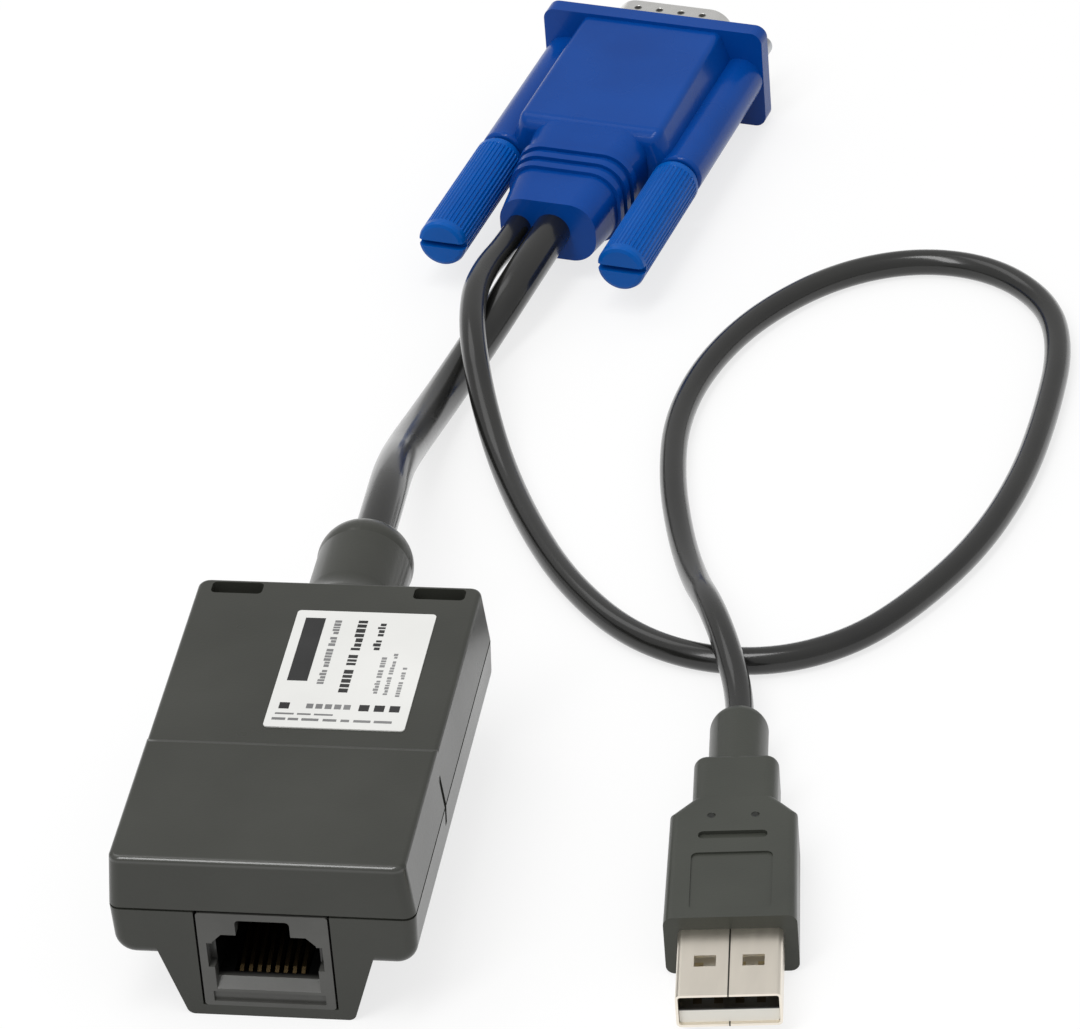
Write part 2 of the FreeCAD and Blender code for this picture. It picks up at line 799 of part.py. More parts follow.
def make_hood():
    z = flange_mid_z
    plate = wide_box(flange_width, -flange_thickness, 0, 0, flange_height)
    plate = round_edges(plate, flange_round, lambda p, d: abs(d.y) > 0.99)
    half = hood_height / 2
    end_half = half - hood_shoulder_drop
    block = prism_y([(-hood_top_width / 2, z + half), (-hood_waist_width / 2, z),
                     (-hood_top_width / 2, z - half), (hood_top_width / 2, z - half),
                     (hood_waist_width / 2, z), (hood_top_width / 2, z + half)],
                    -hood_length, -flange_thickness / 2)
    for side in (-1, 1):
        wedge = prism_x([(-flange_thickness, z + side * half), (-hood_length - 1, z + side * half),
                         (-hood_length - 1, z + side * end_half)], -hood_top_width, hood_top_width)
        block = block.cut(wedge)
    block = round_edges(block, hood_edge_round,
                        lambda p, d: abs(d.y) > 0.9 and abs(p.z - z) > half - hood_shoulder_drop - 0.1)
    block = round_edges(block, shoulder_round,
                        lambda p, d: abs(p.y + hood_length) < 0.01 and abs(d.x) > 0.9
                        and abs(p.x) < 0.1)
    hood = plate.fuse(block)
    for side in (-1, 1):
        x = side * screw_pitch / 2
        tube = rod(tube_radius, V(x, -hood_length, z), V(x, -flange_thickness / 2, z))
        tube = round_edges(tube, 0.6, lambda p, d: abs(p.y + hood_length) < 0.01)
        hood = hood.fuse(tube)
    neck = Part.makeLoft([neck_section(-hood_length + shoulder_round + 1), neck_section(hood_end_y)],
                         True, True)
    hood = hood.fuse(neck)
    for i in range(rib_count):
        y = -hood_length - first_rib - i * rib_pitch
        rib = Part.makeLoft([neck_section(y, rib_proud), neck_section(y + rib_width, rib_proud)],
                            True, True)
        hood = hood.fuse(rib)
    pocket = wide_box(mouth_width + 2.0, -insulator_rear - premould_length, 1.0,
                      z - mouth_height / 2 - 0.6, z + mouth_height / 2 + 0.6)
    hood = hood.cut(pocket)
    for side in (-1, 1):
        x = side * screw_pitch / 2
        hood = hood.cut(rod(thread_radius + turn_gap, V(x, -hood_length - 1, z), V(x, 1, z)))
    return hood.removeSplitter()


def make_vga_metal():
    z = flange_mid_z
    plate = wide_box(metal_flange_width, 0, metal_thickness,
                     z - metal_flange_height / 2, z + metal_flange_height / 2)
    plate = round_edges(plate, flange_round, lambda p, d: abs(d.y) > 0.99)
    shell = mouth_prism(mouth_wall, metal_thickness / 2, metal_thickness + mouth_depth)
    metal = plate.fuse(shell).cut(mouth_prism(0.0, -1, metal_thickness + mouth_depth + 1))
    for side in (-1, 1):
        x = side * screw_pitch / 2
        metal = metal.cut(rod(thread_radius + turn_gap, V(x, -1, z), V(x, 2, z)))
    return metal.removeSplitter()


def pin_places():
    """Three rows of pins; the middle row is shifted, and its fourth place is empty."""
    places = []
    for row in (-1, 0, 1):
        shift = pin_pitch / 2 if row == 0 else 0.0
        for i in range(pins_in_row):
            if row == 0 and i == pins_in_row - 2:
                continue
            x = (i - (pins_in_row - 1) / 2) * pin_pitch - shift + pin_pitch / 4
            places.append((x, flange_mid_z + row * pin_row_pitch))
    return places


def make_vga_insulator():
    z = flange_mid_z
    nose = mouth_prism(-seat, -1.0, metal_thickness + insulator_front)
    block = wide_box(mouth_width + 2.0 - 2 * seat, -insulator_rear, 0,
                     z - mouth_height / 2 - 0.6 + seat, z + mouth_height / 2 + 0.6 - seat)
    insulator = block.fuse(nose)
    for x, pin_z in pin_places():
        insulator = insulator.cut(rod(pin_radius + seat, V(x, -insulator_rear - 1, pin_z),
                                      V(x, insulator_front + 2, pin_z)))
    return insulator.removeSplitter()


def make_vga_pins():
    tip = metal_thickness + mouth_depth - pin_tip_back
    pins = []
    for x, pin_z in pin_places():
        pin = rod(pin_radius, V(x, -insulator_rear, pin_z), V(x, tip, pin_z))
        pins.append(round_edges(pin, pin_radius * 0.6, lambda p, d: abs(p.y - tip) < 0.01))
    return Part.makeCompound(pins)


def make_premould():
    z = flange_mid_z
    block = wide_box(mouth_width + 2.0 - 2 * seat, -insulator_rear - premould_length + seat,
                     -insulator_rear, z - mouth_height / 2 - 0.6 + seat,
                     z + mouth_height / 2 + 0.6 - seat)
    return round_edges(block, 0.8, lambda p, d: abs(d.y) > 0.99)


knob_front_y = -hood_length - knob_gap
knob_rear_y = knob_front_y - knob_length


def make_shaft(side):
    x, z = side * screw_pitch / 2, flange_mid_z
    start = metal_thickness + thread_start
    tip = start + thread_length
    shank = rod(shank_radius, V(x, knob_front_y - shank_in_knob, z), V(x, start, z))
    thread = rod(thread_radius, V(x, start, z), V(x, tip, z))
    thread = round_edges(thread, thread_tip_round, lambda p, d: abs(p.y - tip) < 0.01)
    return shank.fuse(thread).removeSplitter()


def make_knob(side):
    x, z = side * screw_pitch / 2, flange_mid_z
    knob = rod(knob_radius, V(x, knob_rear_y, z), V(x, knob_front_y, z))
    knob = round_edges(knob, knob_round, lambda p, d: True)
    for i in range(knob_flutes):
        angle = 2 * math.pi * i / knob_flutes
        fx = x + knob_radius * math.cos(angle)
        fz = z + knob_radius * math.sin(angle)
        flute = rod(flute_radius, V(fx, knob_rear_y + 2 * knob_round, fz),
                    V(fx, knob_front_y - 2 * knob_round, fz))
        knob = knob.cut(flute)
    slot = box(x - knob_radius, x + knob_radius, knob_rear_y - 1, knob_rear_y + knob_slot_depth,
               z - knob_slot_width / 2, z + knob_slot_width / 2)
    knob = knob.cut(slot)
    bore = rod(shank_radius, V(x, knob_front_y - shank_in_knob, z), V(x, knob_front_y + 1, z))
    return knob.cut(bore)


# ---------------------------------------------------------------------------
# USB plug
# ---------------------------------------------------------------------------
def make_plug_body():
    z = plug_mid_z
    taper_end = plug_body_length + plug_taper_length
    outline = [V(-plug_front_width / 2, 0, 0), V(plug_front_width / 2, 0, 0),
               V(plug_rear_width / 2, plug_body_length, 0), V(boot_width / 2, taper_end, 0),
               V(-boot_width / 2, taper_end, 0), V(-plug_rear_width / 2, plug_body_length, 0)]
    body = Part.Face(Part.makePolygon(outline + outline[:1])).extrude(V(0, 0, plug_thickness))
    body = round_edges(body, plug_edge_round,
                       lambda p, d: abs(d.z) < 0.1 and 0.01 < p.y < taper_end - 0.01)
    boot = wide_box(boot_width, taper_end - 2, taper_end + boot_length,
                    z - boot_thickness / 2, z + boot_thickness / 2)
    boot = round_edges(boot, boot_round, lambda p, d: abs(d.y) > 0.99)
    boot = round_edges(boot, 0.8, lambda p, d: abs(p.y - taper_end - boot_length) < 0.01)
    y_dome = plug_neck_end - plug_neck_dome
    end_radius = usb_cord_diameter / 2 + 0.5
    a, b = V(0, taper_end, 0), V(0, taper_end, plug_neck_radius)
    c = V(0, y_dome, plug_neck_radius)
    middle = V(0, y_dome + plug_neck_dome * 0.7,
               plug_neck_radius - (plug_neck_radius - end_radius) * 0.35)
    d, e = V(0, plug_neck_end, end_radius), V(0, plug_neck_end, 0)
    neck = spin_y([line(a, b), line(b, c), arc(c, middle, d), line(d, e), line(e, a)], 0, z)
    body = body.fuse(boot).fuse(neck)
    panel = wide_box(panel_width, panel_front, panel_front + panel_length,
                     plug_thickness - panel_depth, plug_thickness + 1)
    panel = round_edges(panel, 0.8, lambda p, d: abs(d.z) > 0.9)
    groove = wide_box(groove_width, groove_from_front, groove_from_front + groove_length,
                      plug_thickness - groove_depth, plug_thickness + 1)
    groove = round_edges(groove, groove_length * 0.45, lambda p, d: abs(d.z) > 0.9)
    pocket = wide_box(shell_width, -1, shell_in, z - shell_height / 2, z + shell_height / 2)
    pocket = round_edges(pocket, shell_round, lambda p, d: abs(d.y) > 0.99)
    return body.cut(panel).cut(groove).cut(pocket).removeSplitter()


def make_usb_shell():
    z = plug_mid_z
    outer = wide_box(shell_width, -shell_out, shell_in, z - shell_height / 2, z + shell_height / 2)
    outer = round_edges(outer, shell_round, lambda p, d: abs(d.y) > 0.99)
    inner = wide_box(shell_width - 2 * shell_wall, -shell_out - 1, shell_in + 1,
                     z - shell_height / 2 + shell_wall, z + shell_height / 2 - shell_wall)
    inner = round_edges(inner, shell_round - shell_wall, lambda p, d: abs(d.y) > 0.99)
    shell = outer.cut(inner)
    for side in (-1, 1):
        y = -shell_out + window_from_mouth
        window = wide_box(window_width, y, y + window_length, z - shell_height,
                          z + shell_height, side * window_spacing / 2)
        shell = shell.cut(window)
    return shell


def make_usb_insulator():
    z_low = plug_mid_z - shell_height / 2 + shell_wall
    half = shell_width - 2 * shell_wall - 2 * seat
    tongue = wide_box(half, -shell_out + tongue_back, 0, z_low, z_low + tongue_thickness)
    block = wide_box(half, -block_start, shell_in, z_low,
                     plug_mid_z + shell_height / 2 - shell_wall)
    insulator = tongue.fuse(block)
    insulator = round_edges(insulator.removeSplitter(), shell_round - shell_wall,
                            lambda p, d: abs(d.y) > 0.99 and abs(abs(p.x) - half / 2) < 0.01
                            and abs(p.z - z_low - tongue_thickness) > 0.01)
    return insulator.cut(usb_contact_strips())


def usb_contact_strips():
    top = plug_mid_z - shell_height / 2 + shell_wall + tongue_thickness
    strips = []
    for i in range(usb_contact_count):
        x = (i - (usb_contact_count - 1) / 2) * usb_contact_pitch
        y = -shell_out + tongue_back + usb_contact_back
        strips.append(wide_box(usb_contact_width, y, y + usb_contact_length,
                               top - usb_contact_thickness, top, x))
    return Part.makeCompound(strips)


# ---------------------------------------------------------------------------
# Cords
# ---------------------------------------------------------------------------
# Each cord leaves the hood and enters the plug straight, for the stated length.
def hood_point(offset, behind):
    return to_frame(V(offset, hood_end_y - behind, flange_mid_z), vga_place, vga_turn)


def plug_point(behind):
    return to_frame(V(0, plug_neck_end + behind, plug_mid_z), usb_place, usb_turn)


vga_route = [
    V(0, neck_end_y, seam_z), V(0, 46, 14.8), V(-1, 57, 12), V(-1.7, 68, 7.6),
    V(-1.4, 79, 4.2), V(-0.1, 89.5, 2.5), V(2.5, 99.8, 3.2),
    hood_point(vga_cord_offset, 10), hood_point(vga_cord_offset, 0)]

usb_route = [
    hood_point(usb_cord_offset, 0), hood_point(usb_cord_offset, 5),
    V(1.9, 109.2, 8.2), V(1.5, 101.5, 9), V(2.9, 92, 8.4), V(5.5, 83, 5), V(9.3, 73, 2),
    V(15, 60, 1.7), V(21.5, 48.3, 1.7), V(30, 38.3, 1.7), V(39.4, 33.4, 1.7),
    V(49.2, 33.2, 1.7), V(58, 37.9, 1.7), V(64.6, 46.3, 1.7), V(71.2, 58.9, 1.7),
    V(75.2, 73.5, 1.7), V(76.9, 88.5, 1.7), V(77.4, 103.5, 1.7), V(74.7, 114.2, 1.7),
    V(67, 122, 1.7), V(56.8, 123.9, 1.7), V(46.4, 119.6, 1.7), V(37.6, 109.8, 1.7),
    V(32.2, 98, 1.7), V(30, 85, 1.7), V(31.2, 71.5, 1.7), V(34.2, 58.5, 1.7),
    V(37.4, 48, 3), V(40.6, 39.5, 5.6), V(43.7, 31.2, 5.6), plug_point(5), plug_point(0)]


def cord_tube(route, diameter, name):
    """Tube along straight runs joined by tangent arcs; also prints its radii."""
    edges, radii = [], []
    start = route[0]
    length = 0.0
    for before, corner, after in zip(route, route[1:], route[2:]):
        into = (corner - before)
        out = (after - corner)
        reach = 0.45 * min(into.Length, out.Length)
        into.normalize()
        out.normalize()
        half_turn = into.getAngle(out) / 2
        radius = reach / math.tan(half_turn)
        a = corner - into * reach
        b = corner + out * reach
        inward = (out - into).normalize()
        middle = corner + inward * (radius / math.cos(half_turn) - radius)
        edges.append(line(start, a))
        edges.append(arc(a, middle, b))
        length += (a - start).Length + 2 * radius * half_turn
        radii.append(round(radius, 1))
        start = b
    edges.append(line(start, route[-1]))
    length += (route[-1] - start).Length
    path = Part.Wire(edges)
    first = route[1] - route[0]
    ring = Part.Wire(Part.makeCircle(diameter / 2, route[0], first))
    tube = path.makePipeShell([ring], True, False)
    share = tube.Volume / (math.pi * diameter ** 2 / 4 * length)
    print(name, "length", round(length, 1), "volume share", round(share, 4), "radii", radii)
    return tube


# ---------------------------------------------------------------------------
# All pieces
# ---------------------------------------------------------------------------
keep("housing_upper_shell", make_upper_shell())
keep("housing_lower_shell", make_lower_shell())
keep("case_screws", make_case_screws())
keep("label", make_label())
keep("cord_anchor", anchor_solid())
keep("jack_body", make_jack_body())
keep("jack_insert", make_jack_insert())
keep("jack_contacts", make_jack_contacts())
keep("circuit_board", make_board())
keep("processor_chip", chip(processor_size, processor_size, processor_thickness,
                            processor_x, processor_y))
keep("video_chip", chip(video_size, video_size, video_thickness, video_x, video_y))
keep("memory_chip", chip(memory_width, memory_length, memory_thickness, memory_x, video_y))
keep("crystal_can", on_board(crystal_width, crystal_length, crystal_height, crystal_x,
                             processor_y, crystal_width * 0.45))
keep("capacitors", make_capacitors())
keep("cable_header", make_header())
keep("signal_wires", make_wires())

for vga_name, vga_shape in (
        ("vga_hood", make_hood()), ("vga_metal_shell", make_vga_metal()),
        ("vga_insulator", make_vga_insulator()), ("vga_pins", make_vga_pins()),
        ("vga_inner_mould", make_premould()),
        ("thumbscrew_left_shaft", make_shaft(-1)), ("thumbscrew_left_knob", make_knob(-1)),
        ("thumbscrew_right_shaft", make_shaft(1)), ("thumbscrew_right_knob", make_knob(1))):
    keep(vga_name, place(vga_shape, vga_place, vga_turn))

for usb_name, usb_shape in (
        ("usb_plug_body", make_plug_body()), ("usb_shell", make_usb_shell()),
        ("usb_insulator", make_usb_insulator()), ("usb_contacts", usb_contact_strips())):
    keep(usb_name, place(usb_shape, usb_place, usb_turn))

keep("vga_cord", cord_tube(vga_route, vga_cord_diameter, "vga_cord"))
keep("usb_cord", cord_tube(usb_route, usb_cord_diameter, "usb_cord"))

for name, shape in nodes.items():
    print(name, "valid", shape.isValid(), "solids", len(shape.Solids),
          "volume", round(shape.Volume, 2))
    shape.exportStep("parts/" + name + ".step")
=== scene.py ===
# %% [markdown]
# # A KVM dongle on a table
# The object is a small adapter for servers. Its grey housing has a network socket at the front,
# a cord leads from the back of the housing to a blue VGA plug, and a thinner cord leads on to a
# USB plug. The solids come from CAD as a fixed frame. This script dresses them: it lays the cords
# as smooth curves, builds the finer pieces, and gives every surface its finish.

# %% Load the frame
import math
import random

import bmesh
import bpy
from mathutils import Matrix, Quaternion, Vector


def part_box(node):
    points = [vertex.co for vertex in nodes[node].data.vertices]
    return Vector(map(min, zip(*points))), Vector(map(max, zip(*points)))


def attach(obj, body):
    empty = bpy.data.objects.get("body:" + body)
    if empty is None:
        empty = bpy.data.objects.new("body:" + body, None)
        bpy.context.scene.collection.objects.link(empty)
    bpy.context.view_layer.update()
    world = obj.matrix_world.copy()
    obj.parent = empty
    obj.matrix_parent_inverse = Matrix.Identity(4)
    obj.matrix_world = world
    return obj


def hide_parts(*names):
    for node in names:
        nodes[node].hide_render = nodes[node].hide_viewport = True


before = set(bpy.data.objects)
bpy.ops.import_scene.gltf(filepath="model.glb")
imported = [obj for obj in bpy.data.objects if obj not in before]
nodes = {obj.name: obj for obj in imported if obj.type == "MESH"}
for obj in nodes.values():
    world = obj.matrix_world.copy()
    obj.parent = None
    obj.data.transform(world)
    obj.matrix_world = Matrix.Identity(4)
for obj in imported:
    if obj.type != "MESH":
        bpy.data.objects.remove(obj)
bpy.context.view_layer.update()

MM = 0.001

# %% [markdown]
# ## Camera
# The camera stands well back with a long lens, so that edges that run away from it stay nearly
# parallel. It looks down at about 35 degrees and is rolled a few degrees, as a hand-held one is.

# %% Place the camera
CAMERA_PLACE = Vector((154.7, -621.3, 481.4)) * MM
CAMERA_AIM = Vector((15.3, 65.2, 0.0)) * MM
CAMERA_ROLL = math.radians(-4.77)
LENS_OVER_SENSOR = 6770 / 1080

camera_data = bpy.data.cameras.new("camera")
camera_data.sensor_fit = "HORIZONTAL"
camera_data.sensor_width = 36.0
camera_data.lens = camera_data.sensor_width * LENS_OVER_SENSOR
camera = bpy.data.objects.new("camera", camera_data)
bpy.context.scene.collection.objects.link(camera)
look = (CAMERA_AIM - CAMERA_PLACE).to_track_quat("-Z", "Y")
camera.rotation_mode = "QUATERNION"
camera.rotation_quaternion = look @ Quaternion((0, 0, 1), CAMERA_ROLL)
camera.location = CAMERA_PLACE
bpy.context.scene.camera = camera
bpy.context.scene.view_settings.view_transform = "Standard"
print("camera lens", round(camera_data.lens, 1), "mm")

# %% [markdown]
# ## Places of the two plugs
# The VGA plug and the USB plug lie turned on the table. Each has its own simple frame, in which
# its shapes are easy to describe: Y runs along the plug. These two matrices turn such shapes into
# their places, so that every finished mesh can keep its object at the origin.

# %% Frames of the plugs
VGA_PLACE, VGA_TURN = (17.2, 164.3, 0.0), math.radians(-11.3)
USB_PLACE, USB_TURN = (51.47, -24.4, 0.0), math.radians(6.1)


def plug_frame(place, turn):
    return Matrix.Translation(Vector(place) * MM) @ Matrix.Rotation(turn, 4, "Z")


vga_frame = plug_frame(VGA_PLACE, VGA_TURN)
usb_frame = plug_frame(USB_PLACE, USB_TURN)
print("plug frames at", vga_frame.translation[:], usb_frame.translation[:])

# %% [markdown]
# ## Cords
# A cord is a fixed length of something flexible that lies under its own weight. A NURBS curve of
# order 3 gives a smooth line through a short route: straight out of its exit, down to the table,
# and over another cord in a low hump. A round bevel gives the curve its thickness.

# %% Lay a cord
def lay_cord(name, route_mm, diameter_mm):
    curve = bpy.data.curves.new(name, "CURVE")
    curve.dimensions = "3D"
    spline = curve.splines.new("NURBS")
    spline.points.add(len(route_mm) - 1)
    for point, place in zip(spline.points, route_mm):
        point.co = (*(Vector(place) * MM), 1.0)
    spline.order_u = 3
    spline.use_endpoint_u = True
    spline.resolution_u = 16
    curve.bevel_depth = diameter_mm / 2 * MM
    curve.bevel_resolution = 8
    curve.use_fill_caps = True
    piece = bpy.data.objects.new(name, curve)
    bpy.context.scene.collection.objects.link(piece)
    return piece


def in_plug(matrix, x, y, z):
    """A point of a plug's own frame, in millimetres of the table's frame."""
    return tuple(value / MM for value in matrix @ (Vector((x, y, z)) * MM))


VGA_CORD_DIAMETER = 5.0
USB_CORD_DIAMETER = 3.4
HOOD_END, HOOD_MIDDLE = -45.0, 7.25
PLUG_END, PLUG_MIDDLE = 42.4, 4.0

vga_route = [
    (0, 36, 14.8), (0, 46, 14.8), (-1, 57, 12), (-1.7, 68, 7.6), (-1.4, 79, 4.2),
    (-0.1, 89.5, 2.5), (2.5, 99.8, 3.2),
    in_plug(vga_frame, 0.6, HOOD_END - 10, HOOD_MIDDLE), in_plug(vga_frame, 0.6, HOOD_END, HOOD_MIDDLE)]

usb_route = [
    in_plug(vga_frame, -4.1, HOOD_END, HOOD_MIDDLE), in_plug(vga_frame, -4.1, HOOD_END - 5, HOOD_MIDDLE),
    (1.9, 109.2, 8.2), (1.5, 101.5, 9), (2.9, 92, 8.4), (5.5, 83, 5), (9.3, 73, 2),
    (15, 60, 1.7), (21.5, 48.3, 1.7), (30, 38.3, 1.7), (39.4, 33.4, 1.7), (49.2, 33.2, 1.7),
    (58, 37.9, 1.7), (64.6, 46.3, 1.7), (71.2, 58.9, 1.7), (75.2, 73.5, 1.7), (76.9, 88.5, 1.7),
    (77.4, 103.5, 1.7), (74.7, 114.2, 1.7), (67, 122, 1.7), (56.8, 123.9, 1.7),
    (46.4, 119.6, 1.7), (37.6, 109.8, 1.7), (32.2, 98, 1.7), (30, 85, 1.7),
    (31.2, 71.5, 1.7), (34.2, 58.5, 1.7), (37.4, 48, 3), (40.6, 39.5, 5.6), (43.7, 31.2, 5.6),
    in_plug(usb_frame, 0, PLUG_END + 5, PLUG_MIDDLE), in_plug(usb_frame, 0, PLUG_END, PLUG_MIDDLE)]

vga_cord = lay_cord("vga_cord_jacket", vga_route, VGA_CORD_DIAMETER)
usb_cord = lay_cord("usb_cord_jacket", usb_route, USB_CORD_DIAMETER)
print("cords laid:", vga_cord.name, usb_cord.name)

# %% [markdown]
# ## Shared effects for the finishes
# Moulded plastic is never one flat colour: a fine spark-eroded texture breaks up its shine, and
# slow, faint changes of tone run over it. Both effects are node groups, so that each material can
# place them with its own scale. They read object coordinates, because every piece is in metres.

# %% Node helpers
def add_node(tree, kind, **settings):
    node = tree.nodes.new(kind)
    for key, value in settings.items():
        setattr(node, key, value)
    return node


def link(tree, source, output, target, socket):
    tree.links.new(source.outputs[output], target.inputs[socket])


def group_tree(name, inputs, outputs):
    """A node group; an input with the value None is a vector, any other is a number."""
    tree = bpy.data.node_groups.new(name, "ShaderNodeTree")
    for label, value in inputs:
        kind = "NodeSocketVector" if value is None else "NodeSocketFloat"
        socket = tree.interface.new_socket(label, in_out="INPUT", socket_type=kind)
        if value is not None:
            socket.default_value = value
    for label in outputs:
        tree.interface.new_socket(label, in_out="OUTPUT", socket_type="NodeSocketFloat")
    return tree, tree.nodes.new("NodeGroupInput"), tree.nodes.new("NodeGroupOutput")


def set_range(node, low, high, to_low=0.0, to_high=1.0):
    for label, value in (("From Min", low), ("From Max", high), ("To Min", to_low), ("To Max", to_high)):
        node.inputs[label].default_value = value


# %% Moulded grain and slow tone groups
def noise_group(name, label, scale, detail, low, high, output):
    tree, ends_in, ends_out = group_tree(name, [(label, scale)], [output])
    coordinates = tree.nodes.new("ShaderNodeTexCoord")
    noise = add_node(tree, "ShaderNodeTexNoise")
    noise.inputs["Detail"].default_value = detail
    link(tree, coordinates, "Object", noise, "Vector")
    link(tree, ends_in, label, noise, "Scale")
    spread = add_node(tree, "ShaderNodeMapRange")
    set_range(spread, low, high)
    link(tree, noise, "Fac", spread, "Value")
    link(tree, spread, "Result", ends_out, output)
    return tree


grain_group = noise_group("moulded grain", "Grain Scale", 2500.0, 3.0, 0.35, 0.65, "Height")
tone_group = noise_group("slow tone", "Tone Scale", 60.0, 4.0, 0.3, 0.7, "Tone")
print("groups:", grain_group.name, "and", tone_group.name)

# %% [markdown]
# Two more effects draw small pressed or moulded details where a plug has them: a row of round pits,
# and the fine seam where a sheet of metal meets itself. Both work in the plug's own frame in
# millimetres. A Mapping node in the material moves and turns the coordinates into that frame.

# %% Row of pits group
def math_node(tree, operation, first, second=None):
    node = add_node(tree, "ShaderNodeMath", operation=operation)
    for socket, value in ((0, first), (1, second)):
        if isinstance(value, tuple):
            tree.links.new(value[0].outputs[value[1]], node.inputs[socket])
        elif value is not None:
            node.inputs[socket].default_value = value
    return node


def make_pit_group():
    """A mask of round pits at half a pitch either side of X = 0, one pitch apart, on the line Y = Row."""
    tree, ends_in, ends_out = group_tree(
        "row of pits", [("Place", None), ("Row", 0.0), ("Pitch", 4.0), ("Reach", 6.0), ("Radius", 0.5)],
        ["Mask"])
    apart = add_node(tree, "ShaderNodeSeparateXYZ")
    link(tree, ends_in, "Place", apart, "Vector")
    half = math_node(tree, "MULTIPLY", (ends_in, "Pitch"), 0.5)
    shifted = math_node(tree, "ADD", (apart, "X"), (half, 0))
    steps = math_node(tree, "DIVIDE", (shifted, 0), (ends_in, "Pitch"))
    nearest = math_node(tree, "ROUND", (steps, 0))
    off = math_node(tree, "SUBTRACT", (steps, 0), (nearest, 0))
    across = math_node(tree, "MULTIPLY", (off, 0), (ends_in, "Pitch"))
    along = math_node(tree, "SUBTRACT", (apart, "Y"), (ends_in, "Row"))
    together = add_node(tree, "ShaderNodeCombineXYZ")
    tree.links.new(across.outputs[0], together.inputs["X"])
    tree.links.new(along.outputs[0], together.inputs["Y"])
    distance = add_node(tree, "ShaderNodeVectorMath", operation="LENGTH")
    tree.links.new(together.outputs[0], distance.inputs[0])
    share = math_node(tree, "DIVIDE", (distance, "Value"), (ends_in, "Radius"))
    bowl = add_node(tree, "ShaderNodeMapRange", interpolation_type="SMOOTHSTEP")
    set_range(bowl, 1.0, 0.55)
    tree.links.new(share.outputs[0], bowl.inputs["Value"])
    far = math_node(tree, "ABSOLUTE", (apart, "X"))
    inside = math_node(tree, "LESS_THAN", (far, 0), (ends_in, "Reach"))
    mask = math_node(tree, "MULTIPLY", (bowl, "Result"), (inside, 0))
    tree.links.new(mask.outputs[0], ends_out.inputs["Mask"])
    return tree


pit_group = make_pit_group()
print("group:", pit_group.name)


# %% Sheet seam group
def make_seam_group():
    """A mask of a thin line along Y, at X = 0."""
    tree, ends_in, ends_out = group_tree("sheet seam", [("Place", None), ("Half Width", 0.06)], ["Mask"])
    apart = add_node(tree, "ShaderNodeSeparateXYZ")
    link(tree, ends_in, "Place", apart, "Vector")
    far = math_node(tree, "ABSOLUTE", (apart, "X"))
    share = math_node(tree, "DIVIDE", (far, 0), (ends_in, "Half Width"))
    line = add_node(tree, "ShaderNodeMapRange", interpolation_type="SMOOTHSTEP")
    set_range(line, 1.5, 0.7)
    tree.links.new(share.outputs[0], line.inputs["Value"])
    link(tree, line, "Result", ends_out, "Mask")
    return tree


seam_group = make_seam_group()
print("group:", seam_group.name)


# %% Coordinates in a plug's own frame
def plug_place(tree, place, turn):
    """Nodes that give object coordinates in a plug's own frame, in millimetres."""
    coordinates = add_node(tree, "ShaderNodeTexCoord")
    shift = add_node(tree, "ShaderNodeMapping")
    shift.inputs["Location"].default_value = tuple(-value * MM for value in place)
    rotate = add_node(tree, "ShaderNodeMapping")
    rotate.inputs["Rotation"].default_value = (0.0, 0.0, -turn)
    rotate.inputs["Scale"].default_value = (1.0, 1.0, 1.0)
    enlarge = add_node(tree, "ShaderNodeMapping")
    enlarge.inputs["Scale"].default_value = (1 / MM, 1 / MM, 1 / MM)
    link(tree, coordinates, "Object", shift, "Vector")
    link(tree, shift, "Vector", rotate, "Vector")
    link(tree, rotate, "Vector", enlarge, "Vector")
    return enlarge


# %% [markdown]
# ## Plastics
# One function makes each plastic from two near tones, a range of roughness and a grain height.
# The colours are written in linear light, as Blender's sockets expect, so a helper turns the
# familiar 0 to 255 values into them.

# %% Make a plastic
def linear(red, green, blue):
    def channel(value):
        share = value / 255
        return share / 12.92 if share <= 0.04045 else ((share + 0.055) / 1.055) ** 2.4
    return (channel(red), channel(green), channel(blue), 1.0)


def new_material(name):
    material = bpy.data.materials.new(name)
    material.use_nodes = True
    tree = material.node_tree
    shader = tree.nodes["Principled BSDF"]
    return material, tree, shader


def place_group(tree, group, **values):
    node = add_node(tree, "ShaderNodeGroup", node_tree=group)
    for label, value in values.items():
        node.inputs[label.replace("_", " ")].default_value = value
    return node


def mix_colours(tree, dark, light):
    mix = add_node(tree, "ShaderNodeMix", data_type="RGBA")
    mix.inputs[6].default_value = dark
    mix.inputs[7].default_value = light
    return mix


def add_bump(tree, strength, depth_mm):
    bump = add_node(tree, "ShaderNodeBump")
    bump.inputs["Strength"].default_value = strength
    bump.inputs["Distance"].default_value = depth_mm * MM
    return bump


def moulded_plastic(name, dark, light, roughness, grain_mm, depth_mm, tone_scale=60.0, specular=0.3,
                    skin=0.0):
    material, tree, shader = new_material(name)
    tone = place_group(tree, tone_group, Tone_Scale=tone_scale)
    grain = place_group(tree, grain_group, Grain_Scale=1.0 / (grain_mm * MM))
    mix = mix_colours(tree, linear(*dark), linear(*light))
    link(tree, tone, "Tone", mix, "Factor")
    tree.links.new(mix.outputs[2], shader.inputs["Base Color"])
    rough = add_node(tree, "ShaderNodeMapRange")
    set_range(rough, 0.0, 1.0, *roughness)
    link(tree, tone, "Tone", rough, "Value")
    link(tree, rough, "Result", shader, "Roughness")
    bump = add_bump(tree, 0.6, depth_mm)
    link(tree, grain, "Height", bump, "Height")
    link(tree, bump, "Normal", shader, "Normal")
    shader.inputs["Specular IOR Level"].default_value = specular
    shader.inputs["Coat Weight"].default_value = skin
    shader.inputs["Coat Roughness"].default_value = 0.14
    return material


